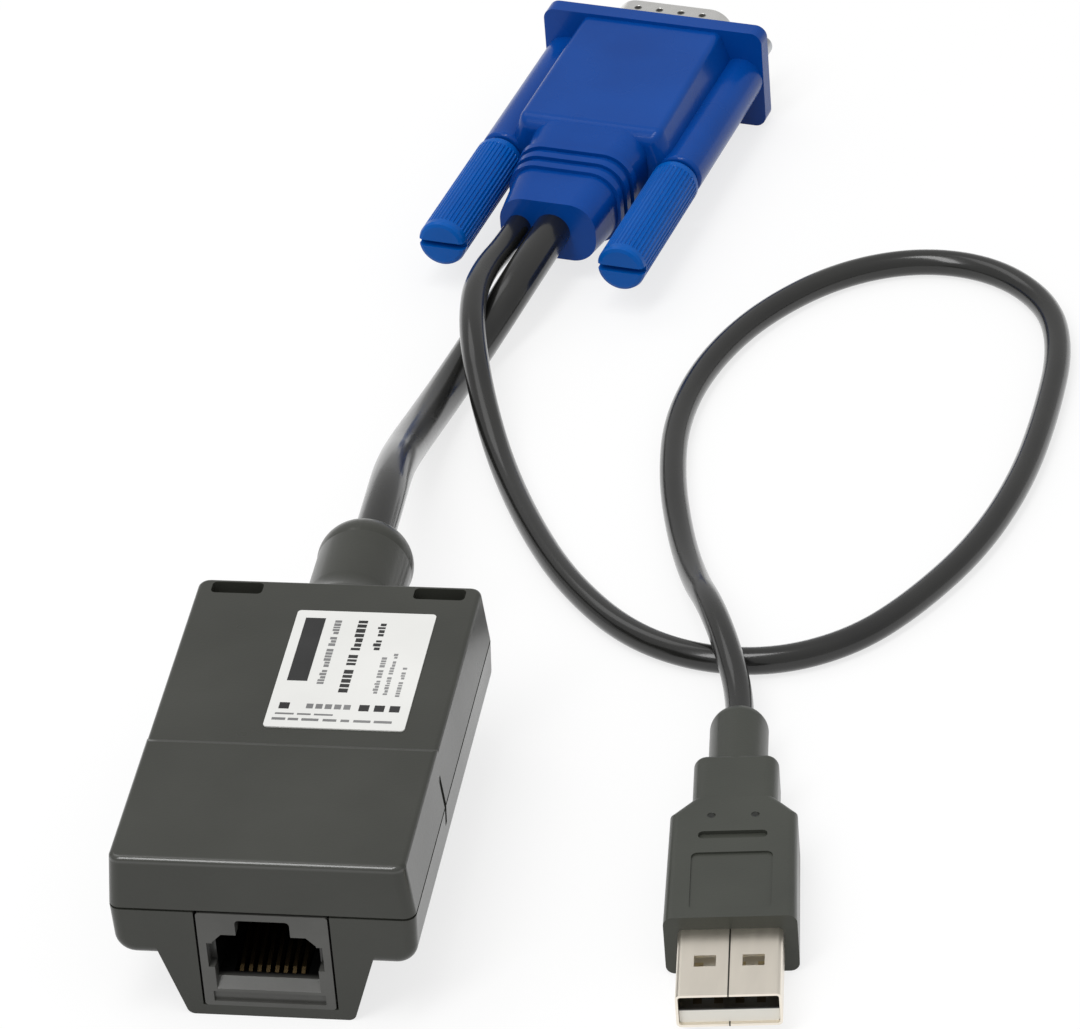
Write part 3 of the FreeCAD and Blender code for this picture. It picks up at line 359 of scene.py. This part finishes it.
# %% The plastics of this object
housing_plastic = moulded_plastic("housing plastic", (54, 55, 50), (61, 62, 57), (0.27, 0.33), 0.35, 0.006, specular=0.25, skin=0.25)
hood_plastic = moulded_plastic("hood blue", (1, 62, 142), (3, 71, 156), (0.24, 0.3), 0.4, 0.005, specular=0.1, skin=0.2)
knob_plastic = moulded_plastic("knob blue", (0, 83, 168), (2, 93, 182), (0.26, 0.33), 0.4, 0.004, specular=0.1, skin=0.12)
cord_rubber = moulded_plastic("cord jacket", (26, 26, 25), (34, 34, 32), (0.24, 0.3), 0.5, 0.003, 90.0, 0.2, 0.8)
label_film = moulded_plastic("label film", (226, 226, 223), (234, 234, 231), (0.35, 0.45), 1.0, 0.003)
label_ink = moulded_plastic("label ink", (40, 40, 40), (62, 62, 62), (0.45, 0.55), 1.0, 0.002)
pale_ink = moulded_plastic("pale label ink", (120, 120, 120), (150, 150, 150), (0.45, 0.55), 1.0, 0.002)
chip_black = moulded_plastic("chip black", (30, 30, 32), (38, 38, 40), (0.4, 0.5), 0.4, 0.01)
board_green = moulded_plastic("board laminate", (20, 90, 50), (28, 105, 60), (0.3, 0.4), 0.6, 0.01)
header_nylon = moulded_plastic("header nylon", (222, 218, 205), (232, 228, 216), (0.4, 0.5), 0.5, 0.01)
wire_plastic = moulded_plastic("wire insulation", (120, 120, 122), (140, 140, 142), (0.4, 0.5), 0.5, 0.005)
insulator_blue = moulded_plastic("insulator blue", (20, 60, 130), (28, 72, 145), (0.35, 0.45), 0.4, 0.008)
natural_mould = moulded_plastic("inner mould", (205, 203, 196), (215, 213, 206), (0.4, 0.5), 0.5, 0.01)
print("plastics made")

# %% [markdown]
# The housing's upper front edge catches a thin line of light. A glossier skin along that edge helps
# it to. That the real edge is glossier than the faces is a guess. The mask follows the height and
# the depth of the edge.

# %% Polished front edge
POLISH_WIDTH, POLISH_FADE = 0.5 * MM, 0.35 * MM
FACE_GLOSS, EDGE_GLOSS = 0.25, 1.0


def polish_edge(material):
    low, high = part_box("housing_upper_shell")
    tree = material.node_tree
    shader = tree.nodes["Principled BSDF"]
    coordinates = add_node(tree, "ShaderNodeTexCoord")
    apart = add_node(tree, "ShaderNodeSeparateXYZ")
    link(tree, coordinates, "Object", apart, "Vector")
    height = add_node(tree, "ShaderNodeMapRange", interpolation_type="SMOOTHSTEP")
    set_range(height, high[2] - POLISH_WIDTH - POLISH_FADE, high[2] - POLISH_WIDTH)
    link(tree, apart, "Z", height, "Value")
    depth = add_node(tree, "ShaderNodeMapRange", interpolation_type="SMOOTHSTEP")
    set_range(depth, low[1] + POLISH_WIDTH + POLISH_FADE, low[1] + POLISH_WIDTH)
    link(tree, apart, "Y", depth, "Value")
    both = math_node(tree, "MULTIPLY", (height, "Result"), (depth, "Result"))
    gloss = add_node(tree, "ShaderNodeMapRange")
    set_range(gloss, 0.0, 1.0, FACE_GLOSS, EDGE_GLOSS)
    tree.links.new(both.outputs[0], gloss.inputs["Value"])
    link(tree, gloss, "Result", shader, "Coat Weight")


polish_edge(housing_plastic)
print("front edge polished")

# %% [markdown]
# The network socket's front frame is a little paler than the housing. Just behind the front face the
# colour turns near black, as painted shade inside the socket, so the mix follows the depth along Y.

# %% Jack plastic
def make_jack_plastic():
    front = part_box("jack_body")[0][1]
    material, tree, shader = new_material("jack plastic")
    coordinates = add_node(tree, "ShaderNodeTexCoord")
    apart = add_node(tree, "ShaderNodeSeparateXYZ")
    link(tree, coordinates, "Object", apart, "Vector")
    depth = add_node(tree, "ShaderNodeMapRange")
    set_range(depth, front + 1.1 * MM, front + 1.9 * MM)
    link(tree, apart, "Y", depth, "Value")
    tone = place_group(tree, tone_group, Tone_Scale=150.0)
    face = mix_colours(tree, linear(74, 74, 71), linear(84, 84, 81))
    link(tree, tone, "Tone", face, "Factor")
    # Near black deeper in: painted shade inside the socket.
    mix = mix_colours(tree, linear(80, 80, 78), linear(10, 10, 10))
    link(tree, depth, "Result", mix, "Factor")
    tree.links.new(face.outputs[2], mix.inputs[6])
    tree.links.new(mix.outputs[2], shader.inputs["Base Color"])
    grain = place_group(tree, grain_group, Grain_Scale=2500.0)
    bump = add_bump(tree, 0.5, 0.006)
    link(tree, grain, "Height", bump, "Height")
    link(tree, bump, "Normal", shader, "Normal")
    shader.inputs["Roughness"].default_value = 0.4
    shader.inputs["Specular IOR Level"].default_value = 0.25
    shader.inputs["Coat Weight"].default_value = 0.5
    shader.inputs["Coat Roughness"].default_value = 0.14
    return material


jack_plastic = make_jack_plastic()
print("material:", jack_plastic.name)

# %% [markdown]
# The USB plug's overmould is the same kind of plastic as the housing. Two small ejector pits lie
# behind its groove, so its material adds the row of pits to the grain, as dents painted darker inside: painted shade in
# the pits.

# %% Plug plastic with its pits
def make_plug_plastic():
    material = moulded_plastic("plug plastic", (58, 60, 55), (66, 68, 62), (0.3, 0.38), 0.3, 0.008, skin=0.15)
    tree = material.node_tree
    shader = tree.nodes["Principled BSDF"]
    place = plug_place(tree, USB_PLACE, USB_TURN)
    pits = place_group(tree, pit_group, Row=19.1, Pitch=5.1, Reach=4.0, Radius=0.55)
    link(tree, place, "Vector", pits, "Place")
    plain_colour = shader.inputs["Base Color"].links[0].from_socket
    # The pits are painted darker: painted shade in them.
    pit_painted_shade = mix_colours(tree, linear(64, 66, 60), linear(30, 32, 28))
    tree.links.new(plain_colour, pit_painted_shade.inputs[6])
    link(tree, pits, "Mask", pit_painted_shade, "Factor")
    tree.links.new(pit_painted_shade.outputs[2], shader.inputs["Base Color"])
    plain_normal = shader.inputs["Normal"].links[0].from_socket
    bump = add_bump(tree, 1.0, 0.3)
    bump.invert = True
    link(tree, pits, "Mask", bump, "Height")
    tree.links.new(plain_normal, bump.inputs["Normal"])
    link(tree, bump, "Normal", shader, "Normal")
    return material


plug_plastic = make_plug_plastic()
print("material:", plug_plastic.name)

# %% [markdown]
# ## Metals
# The USB shell and the VGA mouth are thin pressed steel with a bright plating, the contacts are gold
# plated, and the screws are plain zinc. A faint brushed variation in roughness keeps their
# reflections from looking like glass. The USB shell shows the seam of its rolled sheet as a dark
# joint line, and the VGA mouth has a row of pressed dimples that grip the socket, darker inside
# with painted shade. The network socket's contacts are drawn dark brown instead of gold: painted
# shade inside the socket.

# %% Make a metal
def plated_metal(name, colour, roughness, stretch=(1.0, 1.0, 1.0), depth_mm=0.002, add_detail=None):
    material, tree, shader = new_material(name)
    shader.inputs["Metallic"].default_value = 1.0
    coordinates = add_node(tree, "ShaderNodeTexCoord")
    mapping = add_node(tree, "ShaderNodeMapping")
    mapping.inputs["Scale"].default_value = stretch
    noise = add_node(tree, "ShaderNodeTexNoise")
    noise.inputs["Scale"].default_value = 900.0
    noise.inputs["Detail"].default_value = 4.0
    link(tree, coordinates, "Object", mapping, "Vector")
    link(tree, mapping, "Vector", noise, "Vector")
    rough = add_node(tree, "ShaderNodeMapRange")
    set_range(rough, 0.0, 1.0, *roughness)
    link(tree, noise, "Fac", rough, "Value")
    link(tree, rough, "Result", shader, "Roughness")
    tint = mix_colours(tree, tuple(0.9 * c for c in linear(*colour)[:3]) + (1.0,), linear(*colour))
    link(tree, noise, "Fac", tint, "Factor")
    colour_socket = tint.outputs[2]
    bump = add_bump(tree, 0.4, depth_mm)
    link(tree, noise, "Fac", bump, "Height")
    normal_socket = bump.outputs["Normal"]
    if add_detail:
        mask = add_detail(tree)
        # The detail's mask darkens the plating: a dark joint line on the USB seam, painted shade in the VGA mouth's
        # dimples.
        seam_joint_and_dimple_shade = mix_colours(tree, linear(*colour), linear(70, 68, 64))
        tree.links.new(colour_socket, seam_joint_and_dimple_shade.inputs[6])
        tree.links.new(mask, seam_joint_and_dimple_shade.inputs["Factor"])
        colour_socket = seam_joint_and_dimple_shade.outputs[2]
        dent = add_bump(tree, 1.0, 0.25)
        dent.invert = True
        tree.links.new(mask, dent.inputs["Height"])
        tree.links.new(normal_socket, dent.inputs["Normal"])
        normal_socket = dent.outputs["Normal"]
    tree.links.new(colour_socket, shader.inputs["Base Color"])
    tree.links.new(normal_socket, shader.inputs["Normal"])
    return material


def usb_seam(tree):
    seam = place_group(tree, seam_group, Half_Width=0.07)
    link(tree, plug_place(tree, USB_PLACE, USB_TURN), "Vector", seam, "Place")
    return seam.outputs["Mask"]


def mouth_dimples(tree):
    dimples = place_group(tree, pit_group, Row=4.9, Pitch=3.1, Reach=7.0, Radius=0.6)
    link(tree, plug_place(tree, VGA_PLACE, VGA_TURN), "Vector", dimples, "Place")
    return dimples.outputs["Mask"]


# %% The metals of this object
usb_metal = plated_metal("usb plating", (248, 240, 226), (0.28, 0.4), (1.0, 0.15, 1.0), add_detail=usb_seam)
vga_metal = plated_metal("vga plating", (240, 239, 236), (0.22, 0.34), add_detail=mouth_dimples)
contact_gold = plated_metal("contact gold", (232, 208, 150), (0.2, 0.3))
# The network socket's contacts are gold plated, but here they get a dark brown tone: painted shade inside the socket.
painted_shade_contacts = plated_metal("jack contacts painted shade", (70, 58, 38), (0.4, 0.5))
screw_zinc = plated_metal("screw zinc", (190, 192, 196), (0.3, 0.42), (1.0, 8.0, 1.0))
can_metal = plated_metal("can metal", (210, 212, 215), (0.25, 0.38))
print("metals made")

# %% [markdown]
# The USB plug's tongue looks pale at its front and through the shell's two windows, but the slot
# above it looks black at the mouth. Why it does isn't known: it may be only shade. Here the top of
# the tongue and the contact strips are given a dark tone near the mouth and a pale one further in:
# the dark tone is painted shade in the slot.

# %% Tongue and strips
MOUTH_DARK_END = -8.0
TONGUE_TOP = 3.8


def tongue_material(name, pale, dark, roughness, metallic):
    material, tree, shader = new_material(name)
    place = plug_place(tree, USB_PLACE, USB_TURN)
    apart = add_node(tree, "ShaderNodeSeparateXYZ")
    link(tree, place, "Vector", apart, "Vector")
    # The dark tone near the mouth on the tongue's top is painted shade in the slot.
    near = add_node(tree, "ShaderNodeMapRange", interpolation_type="SMOOTHSTEP")
    set_range(near, MOUTH_DARK_END + 0.6, MOUTH_DARK_END)
    link(tree, apart, "Y", near, "Value")
    top = add_node(tree, "ShaderNodeMapRange")
    set_range(top, TONGUE_TOP - 0.1, TONGUE_TOP)
    link(tree, apart, "Z", top, "Value")
    both = math_node(tree, "MULTIPLY", (near, "Result"), (top, "Result"))
    mix = mix_colours(tree, linear(*pale), linear(*dark))
    tree.links.new(both.outputs[0], mix.inputs["Factor"])
    tree.links.new(mix.outputs[2], shader.inputs["Base Color"])
    shader.inputs["Roughness"].default_value = roughness
    shader.inputs["Metallic"].default_value = metallic
    return material


tongue_nylon = tongue_material("tongue nylon", (250, 247, 238), (22, 22, 21), 0.4, 0.0)
strip_metal = tongue_material("strip metal", (246, 236, 206), (46, 40, 28), 0.35, 1.0)
print("tongue materials made")

# %% [markdown]
# ## Thumbscrew knobs
# A thumb grips the long blue knobs, so they have fine flutes all round, a plain collar at each end
# and a slot for a screwdriver at the back. The CAD knob has only a few coarse flutes. Here a ring
# of many points is pushed in and out by turns and drawn out along the axis, so the flutes run the
# whole length, and two cuts across the back end open the slot.

# %% Knob sizes
KNOB_FLUTES = 36
KNOB_RADIUS = 3.25
KNOB_BACK, KNOB_FRONT = -51.9, -29.3
KNOB_EDGE = 0.6
KNOB_COLLAR = 1.3
FLUTE_DEPTH = 0.16
SLOT_HALF, SLOT_DEPTH = 0.45, 1.2
SCREW_OFFSET = 12.5


# %% Draw the knob out ring by ring
def extrude_ring(shape, edges, step, grow):
    """Draws a ring of edges out along Y by step, then scales the new ring about its middle."""
    made = bmesh.ops.extrude_edge_only(shape, edges=edges)
    verts = [item for item in made["geom"] if isinstance(item, bmesh.types.BMVert)]
    ring = [item for item in made["geom"] if isinstance(item, bmesh.types.BMEdge)]
    bmesh.ops.translate(shape, verts=verts, vec=(0.0, step, 0.0))
    bmesh.ops.scale(shape, verts=verts, vec=(grow, 1.0, grow))
    return ring


def push_valleys(shape, ring, factor):
    """Scales every second pair of points of a ring, which makes the flutes' valleys."""
    verts = {vert for edge in ring for vert in edge.verts}
    spacing = math.tau / (KNOB_FLUTES * 4)
    chosen = [v for v in verts if round(math.atan2(v.co.z, v.co.x) / spacing) % 4 < 2]
    bmesh.ops.scale(shape, verts=chosen, vec=(factor, 1.0, factor))


def knob_body():
    shape = bmesh.new()
    turn = Matrix.Rotation(math.radians(90), 4, "X")
    bmesh.ops.create_circle(shape, cap_ends=False, radius=KNOB_RADIUS - KNOB_EDGE,
                            segments=KNOB_FLUTES * 4, matrix=turn)
    ring = list(shape.edges)
    back_ring = list(ring)
    inner = KNOB_RADIUS - KNOB_EDGE
    lean = KNOB_RADIUS - KNOB_EDGE * 0.3
    ring = extrude_ring(shape, ring, KNOB_EDGE * 0.3, lean / inner)
    ring = extrude_ring(shape, ring, KNOB_EDGE * 0.7, KNOB_RADIUS / lean)
    ring = extrude_ring(shape, ring, KNOB_COLLAR - KNOB_EDGE, 1.0)
    length = KNOB_FRONT - KNOB_BACK
    dip = (KNOB_RADIUS - FLUTE_DEPTH) / KNOB_RADIUS
    ring = extrude_ring(shape, ring, 0.15, 1.0)
    push_valleys(shape, ring, dip)
    ring = extrude_ring(shape, ring, length - 2 * KNOB_COLLAR - 0.3, 1.0)
    ring = extrude_ring(shape, ring, 0.15, 1.0)
    push_valleys(shape, ring, 1 / dip)
    ring = extrude_ring(shape, ring, KNOB_COLLAR - KNOB_EDGE, 1.0)
    ring = extrude_ring(shape, ring, KNOB_EDGE * 0.7, lean / KNOB_RADIUS)
    ring = extrude_ring(shape, ring, KNOB_EDGE * 0.3, inner / lean)
    bmesh.ops.edgenet_fill(shape, edges=ring)
    bmesh.ops.edgenet_fill(shape, edges=[edge for edge in back_ring if edge.is_valid])
    return shape


# %% Open the slot
def fill_flat(shape, verts):
    """Closes a flat opening with one face through the given points."""
    bmesh.ops.contextual_create(shape, geom=verts)


def cut_slot(shape):
    everything = list(shape.verts) + list(shape.edges) + list(shape.faces)
    bmesh.ops.bisect_plane(shape, geom=everything, plane_co=(0, SLOT_DEPTH, 0), plane_no=(0, 1, 0))
    for side in (-1, 1):
        everything = list(shape.verts) + list(shape.edges) + list(shape.faces)
        bmesh.ops.bisect_plane(shape, geom=everything, plane_co=(0, 0, side * SLOT_HALF), plane_no=(0, 0, 1))
    inside = [face for face in shape.faces
              if abs(face.calc_center_median().z) < SLOT_HALF and face.calc_center_median().y < SLOT_DEPTH]
    bmesh.ops.delete(shape, geom=inside, context="FACES")
    open_verts = [v for v in shape.verts if any(edge.is_boundary for edge in v.link_edges)]
    small = 1e-4
    fill_flat(shape, [v for v in open_verts if abs(v.co.y - SLOT_DEPTH) < small])
    for side in (-1, 1):
        fill_flat(shape, [v for v in open_verts if abs(v.co.z - side * SLOT_HALF) < small])


# %% Place the two knobs
def make_knob(name, side):
    shape = knob_body()
    cut_slot(shape)
    bmesh.ops.remove_doubles(shape, verts=list(shape.verts), dist=1e-5)
    bmesh.ops.translate(shape, verts=list(shape.verts), vec=(side * SCREW_OFFSET, KNOB_BACK, HOOD_MIDDLE))
    bmesh.ops.scale(shape, verts=list(shape.verts), vec=(MM, MM, MM))
    bmesh.ops.transform(shape, matrix=vga_frame, verts=list(shape.verts))
    bmesh.ops.recalc_face_normals(shape, faces=list(shape.faces))
    open_edges = sum(edge.is_boundary for edge in shape.edges)
    mesh = bpy.data.meshes.new(name)
    shape.to_mesh(mesh)
    shape.free()
    piece = bpy.data.objects.new(name, mesh)
    bpy.context.scene.collection.objects.link(piece)
    mesh.materials.append(knob_plastic)
    print(name, len(mesh.polygons), "faces,", open_edges, "open edges")
    return piece


left_knob = make_knob("left_knob", -1)
right_knob = make_knob("right_knob", 1)

# %% [markdown]
# ## Print on the label
# The white label carries dark print that runs along the housing. A plain pattern of its own stands
# for it, with no letters, names or marks: one solid band, columns of fine bars, and a row of
# squares. Each bar is a flat box a few hundredths of a millimetre thick, so the print stays sharp
# from close by.

# %% Print helpers
label_low, label_high = (Vector(corner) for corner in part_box("label"))
INK_THICKNESS = 0.02 * MM
inker = random.Random(7)


def add_bar(shape, u0, u1, v0, v1):
    """A flat box on the label; u runs across it and v along it, in millimetres from its corner."""
    made = bmesh.ops.create_cube(shape, size=1.0)
    size = ((u1 - u0) * MM, (v1 - v0) * MM, INK_THICKNESS)
    middle = (label_low.x + (u0 + u1) / 2 * MM, label_low.y + (v0 + v1) / 2 * MM,
              label_high.z + INK_THICKNESS / 2)
    bmesh.ops.scale(shape, verts=made["verts"], vec=size)
    bmesh.ops.translate(shape, verts=made["verts"], vec=middle)


def word_column(shape, u0, u1, v0, v1, bar=0.42, gap=0.2, space=0.55):
    """Short bars from v0 to v1, in groups of three to seven like words."""
    v = v0
    left = inker.randint(3, 7)
    while v + bar < v1:
        length = bar * inker.uniform(0.7, 1.3)
        rise = (u1 - u0) * inker.choice((0.0, 0.0, 0.25))
        add_bar(shape, u0 + rise, u1, v, min(v + length, v1))
        v += length + gap
        left -= 1
        if left == 0:
            v += space
            left = inker.randint(3, 7)


def print_piece(name, ink, draw):
    shape = bmesh.new()
    draw(shape)
    mesh = bpy.data.meshes.new(name)
    shape.to_mesh(mesh)
    shape.free()
    piece = bpy.data.objects.new(name, mesh)
    bpy.context.scene.collection.objects.link(piece)
    mesh.materials.append(ink)
    print(name, len(mesh.polygons), "faces")
    return piece


# %% Dark print
def draw_dark_print(shape):
    add_bar(shape, 1.2, 3.6, 9.0, 21.5)
    word_column(shape, 7.6, 8.7, 7.0, 21.5, 0.6, 0.25, 0.7)
    word_column(shape, 10.1, 11.0, 15.5, 21.5, 0.5, 0.22, 0.6)
    for u in (1.2, 10.6, 12.4, 14.2):
        add_bar(shape, u, u + 1.2, 3.5, 4.7)


dark_print = print_piece("label_dark_print", label_ink, draw_dark_print)


# %% Pale print
def draw_pale_print(shape):
    word_column(shape, 4.8, 5.6, 8.5, 22.0, 0.4, 0.16, 0.45)
    word_column(shape, 11.6, 12.2, 7.0, 14.5, 0.36, 0.16, 0.4)
    word_column(shape, 12.9, 13.4, 6.8, 15.0, 0.36, 0.16, 0.4)
    word_column(shape, 14.4, 14.9, 6.5, 12.5, 0.36, 0.16, 0.4)
    for u in (4.4, 5.5, 6.6, 7.7, 8.8):
        add_bar(shape, u, u + 0.8, 3.7, 4.6)
    for u0, u1 in ((0.8, 2.4), (2.7, 3.9), (4.3, 6.3), (6.8, 8.4), (8.9, 9.9), (10.4, 12.4), (12.8, 14.9)):
        add_bar(shape, u0, u1, 1.3, 1.75)
    for u0, u1 in ((1.0, 3.2), (3.6, 5.2), (5.6, 7.8)):
        add_bar(shape, u0, u1, 2.4, 2.7)


pale_print = print_piece("label_pale_print", pale_ink, draw_pale_print)

# %% [markdown]
# ## Finishes on the CAD pieces
# Where the CAD piece already has the right shape, it stays and only gets its finish.

# %% Dress the CAD nodes
finish_of = {
    "housing_upper_shell": housing_plastic, "housing_lower_shell": housing_plastic,
    "case_screws": screw_zinc, "cord_anchor": cord_rubber, "jack_body": jack_plastic,
    "jack_insert": jack_plastic, "jack_contacts": painted_shade_contacts, "circuit_board": board_green,
    "processor_chip": chip_black, "video_chip": chip_black, "memory_chip": chip_black,
    "crystal_can": can_metal, "capacitors": can_metal, "cable_header": header_nylon,
    "signal_wires": wire_plastic, "vga_hood": hood_plastic, "vga_metal_shell": vga_metal,
    "vga_insulator": insulator_blue, "vga_pins": contact_gold, "vga_inner_mould": natural_mould,
    "thumbscrew_left_shaft": screw_zinc, "thumbscrew_right_shaft": screw_zinc,
    "usb_plug_body": plug_plastic, "usb_shell": usb_metal, "usb_insulator": tongue_nylon,
    "usb_contacts": strip_metal, "label": label_film}

for node_name, finish in finish_of.items():
    slots = nodes[node_name].material_slots
    for slot in slots:
        slot.material = finish
    if not slots:
        nodes[node_name].data.materials.append(finish)
vga_cord.data.materials.append(cord_rubber)
usb_cord.data.materials.append(cord_rubber)
print("dressed", len(finish_of), "CAD pieces")

# %% [markdown]
# ## Floor and light
# A wide pale floor takes the soft shadows. A broad lamp high on the left and a smaller one near the
# camera are the main lights, and the pale world, brightest overhead, fills the rest.

# %% Floor
FLOOR_GLOW = 0.75


def make_floor():
    mesh = bpy.data.meshes.new("floor")
    shape = bmesh.new()
    bmesh.ops.create_grid(shape, x_segments=1, y_segments=1, size=3.0)
    shape.to_mesh(mesh)
    shape.free()
    floor = bpy.data.objects.new("floor", mesh)
    bpy.context.scene.collection.objects.link(floor)
    material, tree, shader = new_material("floor paper")
    shader.inputs["Roughness"].default_value = 0.9
    shader.inputs["Specular IOR Level"].default_value = 0.0
    path = add_node(tree, "ShaderNodeLightPath")
    seen = math_node(tree, "MAXIMUM", (path, "Is Camera Ray"), (path, "Is Glossy Ray"))
    seen = math_node(tree, "MAXIMUM", (seen, 0), (path, "Is Transmission Ray"))
    paper = mix_colours(tree, (0.6, 0.6, 0.6, 1.0), (1.0, 1.0, 1.0, 1.0))
    tree.links.new(seen.outputs[0], paper.inputs["Factor"])
    tree.links.new(paper.outputs[2], shader.inputs["Base Color"])
    share = math_node(tree, "MULTIPLY", (seen, 0), FLOOR_GLOW)
    glow = add_node(tree, "ShaderNodeEmission")
    glow.inputs["Strength"].default_value = 1.0
    blend = add_node(tree, "ShaderNodeMixShader")
    tree.links.new(share.outputs[0], blend.inputs["Fac"])
    tree.links.new(shader.outputs["BSDF"], blend.inputs[1])
    tree.links.new(glow.outputs["Emission"], blend.inputs[2])
    tree.links.new(blend.outputs["Shader"], tree.nodes["Material Output"].inputs["Surface"])
    mesh.materials.append(material)
    return floor


floor = make_floor()

# %% World
WORLD_LOW, WORLD_HIGH = 0.55, 0.7
WORLD_RISE = 0.5


def make_world():
    world = bpy.data.worlds.new("studio")
    bpy.context.scene.world = world
    world.use_nodes = True
    tree = world.node_tree
    background = tree.nodes["Background"]
    coordinates = add_node(tree, "ShaderNodeTexCoord")
    apart = add_node(tree, "ShaderNodeSeparateXYZ")
    height = add_node(tree, "ShaderNodeMapRange")
    set_range(height, WORLD_RISE, 1.0, WORLD_LOW, WORLD_HIGH)
    link(tree, coordinates, "Generated", apart, "Vector")
    link(tree, apart, "Z", height, "Value")
    link(tree, height, "Result", background, "Strength")
    background.inputs["Color"].default_value = (1.0, 1.0, 1.0, 1.0)
    return world


make_world()


# %% Lamps
def soft_lamp(name, place, aim, width, length, power):
    data = bpy.data.lights.new(name, "AREA")
    data.shape = "RECTANGLE"
    data.size = width
    data.size_y = length
    data.energy = power
    lamp = bpy.data.objects.new(name, data)
    lamp.location = place
    lamp.rotation_mode = "QUATERNION"
    lamp.rotation_quaternion = (Vector(aim) - Vector(place)).to_track_quat("-Z", "Y")
    bpy.context.scene.collection.objects.link(lamp)
    return lamp


soft_lamp("high lamp", (-0.45, 0.45, 0.9), (0.03, 0.06, 0.0), 0.5, 0.5, 0.9)
soft_lamp("strip lamp", (-0.17, -0.32, 0.95), (0.02, 0.0, 0.0), 0.26, 1.0, 5.2)
print("lamps:", len(bpy.data.lights))

# %% [markdown]
# Every piece rides on a body of the CAD frame, so that it follows when the thumbscrews turn.

# %% Ride and replace
BODY = "dongle"
for piece in (vga_cord, usb_cord, dark_print, pale_print):
    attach(piece, BODY)
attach(left_knob, "thumbscrew_left")
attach(right_knob, "thumbscrew_right")
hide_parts("vga_cord")
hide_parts("usb_cord")
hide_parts("thumbscrew_left_knob")
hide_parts("thumbscrew_right_knob")
